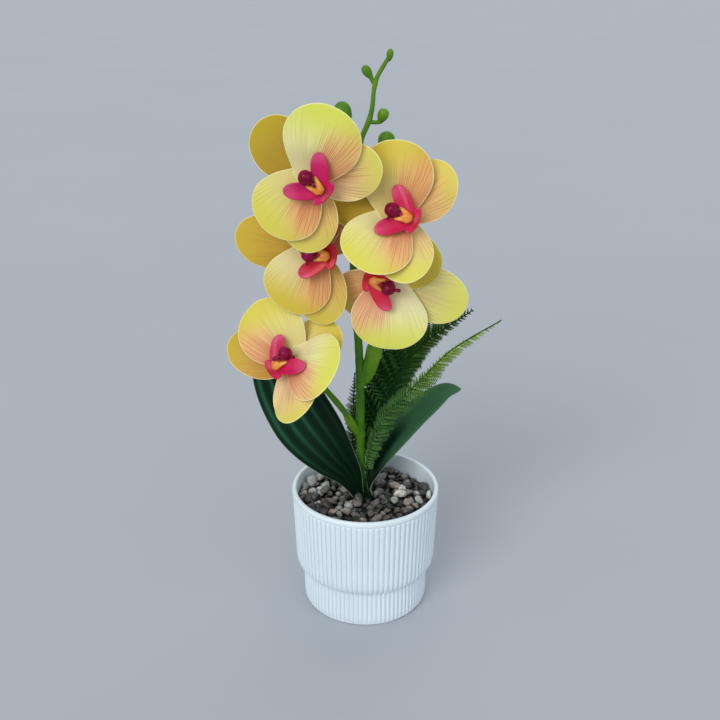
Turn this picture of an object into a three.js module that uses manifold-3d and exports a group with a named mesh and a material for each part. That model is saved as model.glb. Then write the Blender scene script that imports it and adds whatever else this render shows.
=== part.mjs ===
// A potted artificial moth orchid: a ribbed plastic pot in two tiers, filled to just under its rim and
// topped with gravel, one arching flower stem with five yellow blooms and green buds, two strap leaves
// and three fern fronds. Millimetres, +Z up; the origin is the centre of the pot's underside and the
// blooms face -Y.
import * as THREE from "three";
import { mergeVertices } from "three/addons/utils/BufferGeometryUtils.js";
import Module from "manifold-3d";

const wasm = await Module();
wasm.setup();

// ---------------------------------------------------------------- driving dimensions

const POT = {
  height: 68.9,
  rimRadius: 40, // outside, at the very top
  tierRadius: 38.45, // outside, at the upper tier's lower edge
  footRadius: 34.4, // outside, lower tier
  tierZ: 26.2,
  stepZ: 21.4, // the crease between the tiers
  wall: 2.4,
  floor: 3,
  lipHeight: 3.2,
  ribs: 84,
  ribDepth: 0.5,
};

const FIT_GAP = 0.3; // between pieces that touch
const CORE_TOP = 56;
const GRAVEL = { top: 59.6, stones: 44, stoneSize: 3.7, seed: 7 };

// Where each stem enters the gravel, and how wide the plain hole there is.
const FEET = {
  stem: { at: [-2.5, 7.5], radius: 2.3 },
  leafLeft: { at: [-3.6, 0.4], radius: 2.1 },
  leafRight: { at: [2.8, 0.2], radius: 2.1 },
  fernBack: { at: [3.2, 9.8], radius: 1.1 },
  fernFront: { at: [0.4, 5], radius: 1.1 },
  fernLeft: { at: [-7.6, 8.4], radius: 1.1 },
};
const FOOT_DEPTH_Z = 34;

const SHEET = { thickness: 0.9, pinHole: 1.35, sepalsBehind: 1.7 };
const PETAL = { length: 36, width: 36, base: 0.42, widestAt: 0.55, curl: 24, camber: 0.22 };
const SEPAL = { length: 34, width: 26, base: 0.36, widestAt: 0.55, curl: 20, camber: 0.22 };
const PEG_RADIUS = 1;

// Each bloom: where its centre is, which way it faces (turned to its right, tipped up), how far its
// upper sepal leans over to the left, and the angle and lift of each petal and sepal in degrees,
// with its own share of the length and the width where it differs. Angles run anticlockwise from
// the upper sepal as the viewer sees them.
const BLOOMS = [
  {
    name: "bloom_1", centre: [-25.6, -32, 244.4], turn: -3, tip: 9, lean: 47,
    petalSize: 0.98, sepalLength: 1.08, sepalWidth: 1.03,
    petals: [[95, 7, 0.9, 0.93], [-69, 33]], sepals: [[0, -6, 0.97], [131, 3, 0.95], [-128, 26, 0.94]],
    stemZ: 241, nub: [180, 1],
  },
  {
    name: "bloom_2", centre: [13, -27, 226], turn: -7, tip: 27, lean: 68,
    petalSize: 0.95, sepalLength: 1.0, sepalWidth: 1.03,
    petals: [[87, 34, 0.97, 0.98], [-69, 34]], sepals: [[0, 5], [129, 24], [-118, 20]],
    stemZ: 240, nub: [90, 0.4],
  },
  {
    name: "bloom_3", centre: [-25.3, -17, 206.3], turn: -6, tip: 5, lean: 83,
    petalSize: 0.93, sepalLength: 1.12, sepalWidth: 1.01,
    petals: [[72, 10], [-80, -6]], sepals: [[0, 0, 1.07], [105, 9], [-132, -10, 0.94]],
    stemZ: 206, nub: [90, 0.4],
  },
  {
    name: "bloom_4", centre: [11.5, -20.5, 192], turn: -11, tip: 0, lean: -106,
    petalSize: 1.0, sepalLength: 1.12, sepalWidth: 1.0,
    petals: [[62, 8, 0.8, 0.8], [-75, 13, 0.97, 1.05]],
    sepals: [[-3, 4, 1.03, 1.08], [128, 6, 0.88], [-130, -10, 0.92, 1.05]],
    stemZ: 128, nub: [10, 1],
  },
  {
    name: "bloom_5", centre: [-36, -22, 152], turn: -28, tip: 37, lean: -34,
    petalSize: 0.96, sepalLength: 1.0, sepalWidth: 1.03,
    petals: [[84, 34], [-64, 34]], sepals: [[0, 4, 0.82], [123, 22, 1.08], [-125, 25]],
    stemZ: 97, nub: [165, 1.6],
  },
];

// The flower stem's centre line, from the foot to the last bud: x, y, z, radius.
const STEM = [
  [-2.5, 7.5, FOOT_DEPTH_Z, 2.2],
  [-2.5, 7.5, 60, 2.2],
  [-2.4, 6.5, 84, 2.2],
  [-2.6, 4.5, 108, 2.25],
  [-2.9, 2, 130, 2.2],
  [-3.6, 1, 150, 2.1],
  [-5, 1, 172, 1.9],
  [-6.3, 1, 195, 1.8],
  [-6, 1, 220, 1.6],
  [-4, 0.5, 242, 1.35],
  [-2.4, 0, 255, 1.25],
  [1.4, 0, 264.6, 1.2],
  [2.9, 0, 271, 1.1],
  [3.4, 0, 277, 1.05],
  [4.4, 0, 282.5, 1.05],
  [7.6, 0, 288.5, 1.0],
  [10.2, 0, 292.6, 0.95],
];

// Buds: where the bud's own short stem starts, where the bud's middle is, which way its tip points,
// its half-width and half-length.
const BUDS = [
  { from: [10.2, 0, 292.4], middle: [10.7, 0, 293.6], towards: [0.15, 0, 1], half: [1.7, 2.9] },
  { from: [4, 0, 281], middle: [0.5, 0, 286.2], towards: [-0.55, 0, 0.8], half: [2.1, 3.4] },
  { from: [1.4, 0, 264], middle: [7.7, 0, 266.6], towards: [0.35, 0, 0.9], half: [2.6, 3.5] },
  { from: [-2.4, 1, 252], middle: [9.6, 4, 253.4], towards: [0.1, 0.1, 1], half: [4, 5.4] },
  { from: [-3.4, 0.6, 246], middle: [-10.6, 1, 267.3], towards: [-0.3, 0, 0.9], half: [4, 5.8] },
];

// Strap leaves: centre line, the direction across the blade and its greatest half-width; base is its
// share of that width at the foot, and cup is how far the near edge curls in there.
const LEAVES = [
  {
    name: "leaf_left", foot: "leafLeft", halfWidth: 17.5, widestAt: 0.5, base: 0.18, swell: 1.2,
    point: 0.5, cup: 0, across: [0.88, 0.05, 0.44], fold: 0.12, ribs: 5,
    line: [
      [-3.6, 0.4, 64], [-9.2, 1.6, 74], [-17.2, 3, 84], [-26, 5, 95], [-35, 8, 107.5], [-46, 13, 131],
      [-50, 17, 155],
    ],
  },
  {
    name: "leaf_right", foot: "leafRight", halfWidth: 8.4, widestAt: 0.6, base: 0.16, swell: 0.8,
    point: 0.7, cup: 0.9, across: [0.38, -0.82, -0.43], fold: 0.5, ribs: 3,
    line: [
      [2.8, 0.2, 64], [4.2, 2, 71], [9.5, 6.5, 80.5], [24.3, 9, 101], [34.5, 9, 113], [43, 8.5, 121],
      [51, 7, 123],
    ],
  },
];

// Fern fronds: centre line, the direction across the frond, leaflet lengths to each side.
const FERNS = [
  {
    name: "fern_back", foot: "fernBack", across: [-0.72, 0.5, 0.42], sides: [9.5, 14], pairs: 22,
    line: [
      [3.2, 9.8, 64], [6, 17, 79], [11, 23, 96.5], [16.2, 25, 115.5], [23, 25, 130.5], [32.5, 25, 142.5],
      [57.5, 25, 161],
    ],
  },
  {
    name: "fern_front", foot: "fernFront", across: [0.6, -0.55, -0.55], sides: [4, 9.5], pairs: 26,
    line: [
      [0.4, 5, 64], [1.3, 1.9, 78], [4, -5, 97], [11, -8, 115], [28, -9, 135], [43, -9, 151.5], [67.5, -9, 168],
    ],
  },
  {
    name: "fern_left", foot: "fernLeft", across: [0.85, 0.5, 0.1], sides: [6.5, 6.5], pairs: 14,
    line: [[-7.6, 8.4, 64], [-7.2, 11, 82], [-6.6, 13, 102], [-6.2, 14, 117], [-5.7, 14.6, 129]],
  },
];

// Bracts: flattened sheaths where a bloom's stem leaves the flower stem: x, y, z, half-width.
const BRACTS = [
  [
    [-1.8, 3, 127, 1.4], [0.4, 1.8, 131, 2.2], [2.4, 0.8, 138, 3.6], [4.4, -0.4, 148, 4.3],
    [6.5, -1.6, 158, 2],
  ],
  [[-4, 3, 98, 1.4], [-7.5, 1.6, 105, 2.3], [-10.5, 0.2, 111.5, 1.6]],
];

// ---------------------------------------------------------------- colours

const finish = (color, roughness) => new THREE.MeshStandardMaterial({ color, roughness, metalness: 0 });
const FINISH = {
  pot: finish(0xf2f3f5, 0.45),
  core: finish(0x6b5a48, 0.95),
  gravel: finish(0x8d8076, 0.6),
  stem: finish(0x4c8a2a, 0.5),
  leaf: finish(0x17402f, 0.4),
  fern: finish(0x2c5f2c, 0.6),
  petal: finish(0xf0dc6c, 0.65),
  sepal: finish(0xe0bc4c, 0.65),
  lip: finish(0xd0205c, 0.35),
  callus: finish(0xe89a28, 0.5),
  column: finish(0x7a1038, 0.3),
};

// ---------------------------------------------------------------- small helpers

const radians = THREE.MathUtils.degToRad;
const vec = (p) => new THREE.Vector3(p[0], p[1], p[2]);

// The same numbers in the same order each time.
function seededRandom(seed) {
  let state = seed;
  return () => {
    state = (state * 1664525 + 1013904223) % 4294967296;
    return state / 4294967296;
  };
}

function geometryFrom(points, faces) {
  const g = new THREE.BufferGeometry();
  g.setAttribute("position", new THREE.Float32BufferAttribute(points.flatMap((p) => [p.x, p.y, p.z]), 3));
  g.setIndex(faces.flat());
  return g;
}

function solid(geometry) {
  const bare = geometry.clone();
  bare.deleteAttribute("normal");
  bare.deleteAttribute("uv");
  const merged = mergeVertices(bare, 1e-4);
  return new wasm.Manifold(
    new wasm.Mesh({
      numProp: 3,
      vertProperties: new Float32Array(merged.attributes.position.array),
      triVerts: new Uint32Array(merged.index.array),
    }),
  );
}

function geometryOf(made) {
  const m = made.getMesh();
  const g = new THREE.BufferGeometry();
  const xyz = [];
  for (let i = 0; i < m.numVert; i++) {
    const start = i * m.numProp;
    xyz.push(...m.vertProperties.subarray(start, start + 3));
  }
  g.setAttribute("position", new THREE.Float32BufferAttribute(xyz, 3));
  g.setIndex([...m.triVerts]);
  return g;
}

const joined = (geometries) => geometryOf(geometries.map(solid).reduce((a, b) => a.add(b)));

// A sheet with a front and a back: the surface's triangles, the same triangles set back by each
// point's own offset, and a wall along every free edge.
function sheetSolid(points, faces, setBack) {
  const n = points.length;
  const all = [...points, ...points.map((p, i) => p.clone().sub(setBack(i)))];
  const made = faces.map((f) => [...f]);
  const edges = new Map();
  for (const [a, b, c] of faces) {
    made.push([a + n, c + n, b + n]);
    for (const [i, j] of [[a, b], [b, c], [c, a]]) edges.set(i + "," + j, [i, j]);
  }
  for (const [i, j] of edges.values()) {
    if (edges.has(j + "," + i)) continue;
    made.push([i, i + n, j + n], [i, j + n, j]);
  }
  return geometryFrom(all, made);
}

// A tube along a line of points, each with its own radius, closed at both ends by a cap point.
// flat < 1 squeezes it along the direction "thin".
function taperedTube(points, radii, sides, flat = 1, thin = null) {
  const curve = new THREE.CatmullRomCurve3(points, false, "centripetal");
  const rings = points.map((_, i) => i / (points.length - 1));
  const xyz = [];
  const faces = [];
  let normal = null;
  rings.forEach((t, i) => {
    const along = curve.getTangent(t).normalize();
    const upright = Math.abs(along.z) > 0.9;
    const guess = thin || normal || new THREE.Vector3(upright ? 1 : 0, 0, upright ? 0 : 1);
    normal = guess.clone().addScaledVector(along, -guess.dot(along)).normalize();
    const side = along.clone().cross(normal);
    for (let k = 0; k < sides; k++) {
      const a = (2 * Math.PI * k) / sides;
      xyz.push(
        points[i].clone()
          .addScaledVector(normal, radii[i] * flat * Math.cos(a))
          .addScaledVector(side, radii[i] * Math.sin(a)),
      );
    }
  });
  for (let i = 0; i + 1 < points.length; i++)
    for (let k = 0; k < sides; k++) {
      const a = i * sides + k;
      const b = i * sides + ((k + 1) % sides);
      faces.push([a, b, b + sides], [a, b + sides, a + sides]);
    }
  const first = xyz.push(points[0].clone()) - 1;
  const last = xyz.push(points[points.length - 1].clone()) - 1;
  const top = (points.length - 1) * sides;
  for (let k = 0; k < sides; k++) {
    faces.push([first, (k + 1) % sides, k]);
    faces.push([last, top + k, top + ((k + 1) % sides)]);
  }
  return geometryFrom(xyz, faces);
}

// A bud or ball: a lathe about its own axis, turned to point the way it is given.
function pointedOval(middle, towards, halfWidth, halfLength, sides, rows, pinch = 0) {
  const profile = [];
  for (let i = 0; i <= rows; i++) {
    const a = Math.PI * (i / rows) - Math.PI / 2;
    const r = halfWidth * Math.cos(a) * (1 - pinch * Math.sin(a));
    profile.push(new THREE.Vector2(i === 0 || i === rows ? 0 : r, halfLength * Math.sin(a)));
  }
  const g = new THREE.LatheGeometry(profile, sides);
  const up = new THREE.Vector3(0, 1, 0);
  g.applyQuaternion(new THREE.Quaternion().setFromUnitVectors(up, vec(towards).normalize()));
  g.translate(middle[0], middle[1], middle[2]);
  return g;
}

// An upright peg from one height to another.
function uprightPost(x, y, low, high, radius, sides) {
  const g = new THREE.CylinderGeometry(radius, radius, high - low, sides);
  g.rotateX(Math.PI / 2);
  g.translate(x, y, (low + high) / 2);
  return g;
}

// ---------------------------------------------------------------- pot, filling and gravel

// The inside radius follows the outside, a wall's thickness in.
const insideTop = POT.rimRadius - POT.wall;
const insideTier = POT.tierRadius - POT.wall;
const insideFoot = POT.footRadius - POT.wall;

function insideRadiusAt(z) {
  return insideTier + ((insideTop - insideTier) * (z - POT.tierZ)) / (POT.height - POT.tierZ);
}

function pot() {
  const steps = POT.ribs * 2;
  const rings = [
    [0, POT.footRadius - 1.2, 0],
    [2, POT.footRadius, 1],
    [POT.stepZ, POT.footRadius, 1],
    [POT.stepZ + 1.6, POT.tierRadius - 1.6, 1],
    [POT.tierZ, POT.tierRadius, 1],
    [POT.height - POT.lipHeight - 0.6, POT.rimRadius - 0.1, 1],
    [POT.height - POT.lipHeight, POT.rimRadius, 0],
    [POT.height, POT.rimRadius, 0],
  ];
  const points = [];
  const faces = [];
  for (const [z, r, ribbed] of rings)
    for (let k = 0; k < steps; k++) {
      const a = (2 * Math.PI * k) / steps;
      const out = r - (k % 2 ? POT.ribDepth * ribbed : 0);
      points.push(new THREE.Vector3(out * Math.cos(a), out * Math.sin(a), z));
    }
  for (let i = 0; i + 1 < rings.length; i++)
    for (let k = 0; k < steps; k++) {
      const a = i * steps + k;
      const b = i * steps + ((k + 1) % steps);
      faces.push([a, b, b + steps], [a, b + steps, a + steps]);
    }
  const bottom = points.push(new THREE.Vector3(0, 0, 0)) - 1;
  const top = points.push(new THREE.Vector3(0, 0, POT.height)) - 1;
  const last = (rings.length - 1) * steps;
  for (let k = 0; k < steps; k++) {
    faces.push([bottom, (k + 1) % steps, k]);
    faces.push([top, last + k, last + ((k + 1) % steps)]);
  }
  const cavity = new THREE.LatheGeometry(
    [
      [0, POT.floor],
      [insideFoot, POT.floor],
      [insideFoot, POT.stepZ + 1],
      [insideTier, POT.tierZ + 1],
      [insideTop, POT.height],
      [insideTop, POT.height + 5],
      [0, POT.height + 5],
    ].map(([r, z]) => new THREE.Vector2(r, z)),
    42,
  );
  cavity.rotateX(Math.PI / 2);
  cavity.scale(1, -1, 1);
  return geometryOf(solid(geometryFrom(points, faces)).subtract(outward(cavity)));
}

// A closed geometry as a solid with its faces pointing out, whichever way its profile ran.
function outward(geometry) {
  const made = solid(geometry);
  if (made.volume() > 0) return made;
  const g = geometry.index ? geometry.toNonIndexed() : geometry.clone();
  const p = g.attributes.position;
  for (let i = 0; i < p.count; i += 3)
    for (const get of [0, 1, 2]) {
      const a = p.array[(i + 1) * 3 + get];
      p.array[(i + 1) * 3 + get] = p.array[(i + 2) * 3 + get];
      p.array[(i + 2) * 3 + get] = a;
    }
  return solid(g);
}

function latheUp(profile, sides) {
  const g = new THREE.LatheGeometry(profile.map(([r, z]) => new THREE.Vector2(r, z)), sides);
  g.rotateX(Math.PI / 2);
  return outward(g);
}

function footHoles(low, high) {
  return Object.values(FEET)
    .map((f) => outward(uprightPost(f.at[0], f.at[1], low, high, f.radius + FIT_GAP + 0.15, 8)))
    .reduce((a, b) => a.add(b));
}

function core() {
  const body = latheUp(
    [
      [0, POT.floor],
      [insideFoot - FIT_GAP, POT.floor],
      [insideFoot - FIT_GAP, POT.stepZ + 1.3],
      [insideTier - FIT_GAP, POT.tierZ + 1.3],
      [insideRadiusAt(CORE_TOP) - FIT_GAP, CORE_TOP],
      [0, CORE_TOP],
    ],
    36,
  );
  return geometryOf(body.subtract(footHoles(FOOT_DEPTH_Z - 1, CORE_TOP + 5)));
}

// One piece of gravel: a rounded lump with its corners moved about.
function stone(x, y, z, size, random) {
  const g = new THREE.IcosahedronGeometry(1, 0);
  const bare = new THREE.BufferGeometry().setAttribute("position", g.attributes.position);
  const merged = mergeVertices(bare, 1e-4);
  const p = merged.attributes.position;
  const spans = [[0.85, 0.4], [0.8, 0.3], [0.55, 0.25]];
  const stretch = spans.map(([least, spread]) => size * (least + spread * random()));
  for (let i = 0; i < p.count; i++) {
    const push = 0.88 + 0.24 * random();
    p.setXYZ(i, p.getX(i) * push * stretch[0], p.getY(i) * push * stretch[1], p.getZ(i) * push * stretch[2]);
  }
  merged.rotateZ(2 * Math.PI * random());
  merged.rotateX(0.5 * (random() - 0.5));
  merged.translate(x, y, z);
  return merged;
}

function gravel() {
  const random = seededRandom(GRAVEL.seed);
  const edge = insideRadiusAt(CORE_TOP) - FIT_GAP;
  let bed = latheUp([[0, CORE_TOP], [edge, CORE_TOP], [edge, GRAVEL.top], [0, GRAVEL.top]], 36);
  const reach = edge - GRAVEL.stoneSize * 1.15;
  const golden = Math.PI * (3 - Math.sqrt(5));
  for (let i = 0; i < GRAVEL.stones; i++) {
    const r = reach * Math.sqrt((i + 0.5) / GRAVEL.stones);
    const a = i * golden + 0.3 * random();
    const size = GRAVEL.stoneSize * (0.8 + 0.35 * random());
    const z = GRAVEL.top + 0.2 + 1.1 * random();
    bed = bed.add(outward(stone(r * Math.cos(a), r * Math.sin(a), z, size, random)));
  }
  const cut = bed.subtract(footHoles(CORE_TOP - 5, GRAVEL.top + 20));
  // A chip that a hole cuts loose is dropped.
  return geometryOf(cut.decompose().reduce((a, b) => (a.volume() > b.volume() ? a : b)));
}

// ---------------------------------------------------------------- blooms

// Half the width of a petal or sepal at the fraction t of its length.
function lobeHalfWidth(kind, t) {
  const w = t < kind.widestAt
    ? kind.base + (1 - kind.base) * Math.sin((Math.PI / 2) * (t / kind.widestAt))
    : Math.sqrt(Math.max(0, 1 - ((t - kind.widestAt) / (1 - kind.widestAt)) ** 2));
  return 0.5 * kind.width * w;
}

// How far out and how far forward a lobe's centre line is at the fraction t: it leaves at its lift
// and turns back by its curl at the tip.
function lobeLine(lobe, t) {
  const a = radians(lobe.lift);
  const c = radians(lobe.curl);
  return [
    (lobe.length * (Math.sin(a) - Math.sin(a - c * t))) / c,
    (lobe.length * (Math.cos(a - c * t) - Math.cos(a))) / c,
  ];
}

const LOBE_STEPS = 48;
const FLAT_CENTRE = 9; // how far from the peg a sheet stays nearly flat

// The lobe's outline as polar pairs (angle off its own line, distance), from its tip to its base.
function lobeOutline(lobe) {
  const pairs = [];
  for (let i = LOBE_STEPS; i >= 0; i--) {
    const t = i / LOBE_STEPS;
    const out = lobeLine(lobe, t)[0];
    const w = lobeHalfWidth(lobe, t);
    pairs.push([Math.atan2(w, out), Math.hypot(w, out)]);
  }
  return pairs;
}

function interpolate(pairs, x) {
  for (let i = 1; i < pairs.length; i++)
    if (x <= pairs[i][0]) {
      const [x0, y0] = pairs[i - 1];
      const [x1, y1] = pairs[i];
      return y0 + ((y1 - y0) * (x - x0)) / Math.max(x1 - x0, 1e-9);
    }
  return 0;
}

function angleBetween(a, b) {
  return Math.abs(Math.atan2(Math.sin(a - b), Math.cos(a - b)));
}

// The lobe's height at a point of the sheet, seen from the front.
function lobeHeight(lobe, x, y) {
  const out = -x * Math.sin(lobe.angle) + y * Math.cos(lobe.angle);
  const w = x * Math.cos(lobe.angle) + y * Math.sin(lobe.angle);
  const a = radians(lobe.lift);
  const c = radians(lobe.curl);
  const s = Math.sin(a) - (Math.max(out, 0) * c) / lobe.length;
  const forward = (lobe.length * (Math.sqrt(Math.max(0, 1 - s * s)) - Math.cos(a))) / c;
  return forward - (lobe.camber * Math.min(w * w, (lobe.width / 2) ** 2)) / lobe.width;
}

// A sheet of lobes round a centre: its edge and its height at any angle and point.
function lobedSheet(lobes, waist) {
  const outlines = lobes.map(lobeOutline);
  return {
    radius(angle) {
      let r = waist;
      lobes.forEach((lobe, i) => {
        const off = angleBetween(angle, lobe.angle);
        if (off < outlines[i][LOBE_STEPS][0]) r = Math.max(r, interpolate(outlines[i], off));
      });
      return r;
    },
    // Flat round the peg, then rising with the lobes.
    height(x, y) {
      const angle = Math.atan2(-x, y);
      const open = 1 - Math.exp(-(x * x + y * y) / FLAT_CENTRE ** 2);
      let sum = 0;
      let total = 0;
      for (const lobe of lobes) {
        const off = angleBetween(angle, lobe.angle);
        const share = Math.exp(-((off / 0.55) ** 2)) + 1e-9;
        sum += share * lobeHeight(lobe, x, y);
        total += share;
      }
      return (open * sum) / total;
    },
  };
}

function bloomSheets(b) {
  const lobe = (kind, size, width, [angle, lift, lengthShare = 1, widthShare = 1]) => ({
    ...kind,
    length: kind.length * size * lengthShare,
    width: kind.width * width * widthShare,
    angle: radians(angle),
    lift,
  });
  const petals = lobedSheet(b.petals.map((p) => lobe(PETAL, b.petalSize, b.petalSize, p)), 7);
  const sepals = lobedSheet(b.sepals.map((p) => lobe(SEPAL, b.sepalLength, b.sepalWidth, p)), 5);
  // The sepals lie behind the petals wherever the two meet.
  const behind = (x, y) => Math.min(sepals.height(x, y), petals.height(x, y)) - SHEET.sepalsBehind;
  return { petals, sepals: { radius: sepals.radius, height: behind } };
}

// The directions in which a sheet is cut: fine near each lobe's shoulders.
function sheetAngles(lobeAngles, offsets) {
  const all = [];
  for (const a of lobeAngles) for (const o of offsets) all.push(radians(a + o));
  const turned = all.map((a) => ((a % (2 * Math.PI)) + 2 * Math.PI) % (2 * Math.PI)).sort((p, q) => p - q);
  return turned.filter((a, i) => i === 0 || a - turned[i - 1] > radians(4));
}

function sheetGeometry(sheet, angles, strips, hole) {
  const points = [];
  const faces = [];
  const n = angles.length;
  const slope = [];
  if (!hole) {
    points.push(new THREE.Vector3(0, 0, sheet.height(0, 0)));
    slope.push(0);
    angles.forEach((_, k) => faces.push([0, 1 + k, 1 + ((k + 1) % n)]));
  }
  const start = points.length;
  for (const f of strips)
    for (const a of angles) {
      const r = f === 0 ? hole : f * sheet.radius(a);
      const x = -r * Math.sin(a);
      const y = r * Math.cos(a);
      points.push(new THREE.Vector3(x, y, sheet.height(x, y)));
      const e = 0.2;
      slope.push(
        Math.hypot(
          (sheet.height(x + e, y) - sheet.height(x - e, y)) / (2 * e),
          (sheet.height(x, y + e) - sheet.height(x, y - e)) / (2 * e),
        ),
      );
    }
  for (let i = 0; i + 1 < strips.length; i++)
    for (let k = 0; k < n; k++) {
      const a = start + i * n + k;
      const b = start + i * n + ((k + 1) % n);
      faces.push([a, a + n, b + n], [a, b + n, b]);
    }
  const deep = (i) => 0.8 * SHEET.thickness * Math.hypot(1, Math.min(slope[i], 1));
  return sheetSolid(points, faces, (i) => new THREE.Vector3(0, 0, deep(i)));
}

const PETAL_CUTS = [-86, -68, -52, -37, -24, -12, 0, 12, 24, 37, 52, 68, 86];
const SEPAL_CUTS = [-57, -42, -31, -21, -10, 0, 10, 21, 31, 42, 57];
const STRIPS = [0, 0.4, 0.76, 1];

// The lip: two side lobes either side of the column and a short wide front lobe, on a neck that the
// peg holds.
const LIP_CUTS = [
  0, 20, 29, 35, 41, 47, 53, 63, 79, 92, 112, 145, 180, 215, 248, 268, 281, 297, 307, 313, 319, 325, 331, 340,
];
const LIP = {
  y: -8.8, z: 4.4, length: 17.2, width: 7.2, angle: 41, lift: 12, frontWidth: 6, frontLength: 3,
};

function lipSheet() {
  const side = (sign) => ({
    length: LIP.length, width: LIP.width, base: 0.55, widestAt: 0.6, curl: 8, camber: -0.3,
    angle: radians(sign * LIP.angle), lift: LIP.lift,
  });
  const sides = lobedSheet([side(1), side(-1)], 2.2);
  const front = (angle) => {
    const off = angleBetween(angle, Math.PI);
    if (off > radians(104)) return 0;
    const full = 1 / Math.hypot(Math.sin(off) / LIP.frontWidth, Math.cos(off) / LIP.frontLength);
    return off > radians(92) ? full * 0.55 : full;
  };
  return {
    radius: (a) => Math.max(sides.radius(a), front(a)),
    height(x, y) {
      const r = Math.hypot(x, y);
      const ahead = Math.max(0, Math.min(1, (2.2 - y) / 3));
      return (1 - ahead) * sides.height(x, y) + ahead * 0.34 * r;
    },
  };
}

function lip() {
  const sheet = lipSheet();
  const blade = sheetGeometry(sheet, LIP_CUTS.map(radians), [0.5, 1], 0);
  blade.translate(0, LIP.y, LIP.z + 0.8);
  // The neck is a bar with round ends from the peg to the blade, risen towards the blade.
  const outline = new THREE.Shape();
  outline.absarc(0, 0, 2.7, 0, Math.PI);
  outline.absarc(0, LIP.y, 1.7, Math.PI, 2 * Math.PI);
  const peg = new THREE.Path();
  peg.absarc(0, 0, PEG_RADIUS + FIT_GAP, 0, 2 * Math.PI, true);
  outline.holes.push(peg);
  const neck = new THREE.ExtrudeGeometry(outline, { depth: 1.2, bevelEnabled: false, curveSegments: 3 });
  const p = neck.attributes.position;
  for (let i = 0; i < p.count; i++) {
    const rise = Math.max(0, Math.min(1, (-p.getY(i) - 2.8) / (-LIP.y - 2.8)));
    p.setZ(i, p.getZ(i) + 1.4 + rise * (LIP.z - 2));
  }
  return geometryOf(outward(blade).add(outward(neck)));
}

// The raised middle of the lip: a low mound with two upright horns.
const CALLUS = { y: -5.8, z: 6.95, halfWidth: 2.5, halfLength: 2.9, halfHeight: 1.3 };
const HORN = { root: [1.3, -5.2], end: [2.4, -2.4], rise: 0.2, rootRadius: 1.2, endRadius: 0.6 };

function callus() {
  const mound = pointedOval([0, 0, 0], [0, 1, 0], 1, CALLUS.halfLength, 6, 3);
  mound.scale(CALLUS.halfWidth, 1, CALLUS.halfHeight);
  mound.translate(0, CALLUS.y, CALLUS.z);
  const horns = [-1, 1].map((side) =>
    taperedTube(
      [
        new THREE.Vector3(side * HORN.root[0], HORN.root[1], CALLUS.z),
        new THREE.Vector3(side * HORN.end[0], HORN.end[1], CALLUS.z + HORN.rise),
      ],
      [HORN.rootRadius, HORN.endRadius],
      4,
    ),
  );
  return joined([mound, ...horns]);
}

// The column: a ball on a stalk that leans over the centre, with a small stub on its rim.
const COLUMN = { ball: [0, 0.7, 9.7], radius: 3.45, root: [0, -4.8, 9.35], rootRadius: 0.7 };

function column([stubAngle, stubSize]) {
  const ball = pointedOval(COLUMN.ball, [0, 0.4, 1], COLUMN.radius, COLUMN.radius, 9, 5);
  const stalk = taperedTube([vec(COLUMN.root), vec(COLUMN.ball)], [COLUMN.rootRadius, 1.9], 6);
  const a = radians(stubAngle);
  const way = new THREE.Vector3(-Math.sin(a), Math.cos(a), 0.1);
  const start = vec(COLUMN.ball).addScaledVector(way, 2);
  const end = vec(COLUMN.ball).addScaledVector(way, COLUMN.radius + 2.2);
  const stub = taperedTube([start, end], [0.5 + 0.5 * stubSize, 0.4 + 0.5 * stubSize], 5);
  return joined([ball, stalk, stub]);
}

function bloomPlacement(b) {
  const y = radians(b.turn);
  const t = radians(b.tip);
  const r = radians(b.lean);
  const out = new THREE.Vector3(Math.sin(y) * Math.cos(t), -Math.cos(y) * Math.cos(t), Math.sin(t));
  const level = new THREE.Vector3(Math.cos(y), Math.sin(y), 0);
  const up = out.clone().cross(level);
  const dorsal = up.multiplyScalar(Math.cos(r)).addScaledVector(level, -Math.sin(r));
  const right = dorsal.clone().cross(out);
  return new THREE.Matrix4().makeBasis(right, dorsal, out).setPosition(vec(b.centre));
}

function bloom(b) {
  const group = new THREE.Group();
  group.applyMatrix4(bloomPlacement(b));
  const sheets = bloomSheets(b);
  const add = (name, geometry, material) => {
    const mesh = new THREE.Mesh(geometry, material);
    mesh.name = b.name + "_" + name;
    group.add(mesh);
  };
  const petalAngles = sheetAngles(b.petals.map((p) => p[0]), PETAL_CUTS);
  const sepalAngles = sheetAngles(b.sepals.map((p) => p[0]), SEPAL_CUTS);
  add("sepals", sheetGeometry(sheets.sepals, sepalAngles, STRIPS, SHEET.pinHole), FINISH.sepal);
  add("petals", sheetGeometry(sheets.petals, petalAngles, STRIPS, SHEET.pinHole), FINISH.petal);
  add("lip", lip(), FINISH.lip);
  add("callus", callus(), FINISH.callus);
  add("column", column(b.nub), FINISH.column);
  return group;
}

// ---------------------------------------------------------------- stem and buds

function stemPointAt(z) {
  let i = 1;
  while (STEM[i][2] < z) i++;
  const a = vec(STEM[i - 1]);
  const b = vec(STEM[i]);
  return a.lerp(b, (z - a.z) / (b.z - a.z));
}

// A bloom's own stem: it leaves the flower stem, comes up behind the bloom and carries it on a peg.
function pedicel(b) {
  const place = bloomPlacement(b);
  const at = (z) => new THREE.Vector3(0, 0, z).applyMatrix4(place);
  const from = stemPointAt(b.stemZ);
  const rise = from.clone().lerp(at(-16), 0.5).add(new THREE.Vector3(0, 0, 4));
  const line = new THREE.CubicBezierCurve3(from, rise, at(-14), at(-5));
  const points = [0, 0.25, 0.5, 0.75, 1].map((t) => line.getPoint(t));
  const stalk = taperedTube(points, [1.7, 1.6, 1.5, 1.4, 1.35], 6);
  const behind = -SHEET.sepalsBehind - SHEET.thickness - FIT_GAP;
  const cup = taperedTube([at(-6.5), at(-4.6), at(behind)], [1.2, 1.7, 2.5], 6);
  const peg = taperedTube([at(-4.5), at(2.3)], [PEG_RADIUS, PEG_RADIUS], 6);
  return [stalk, cup, peg];
}

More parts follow.
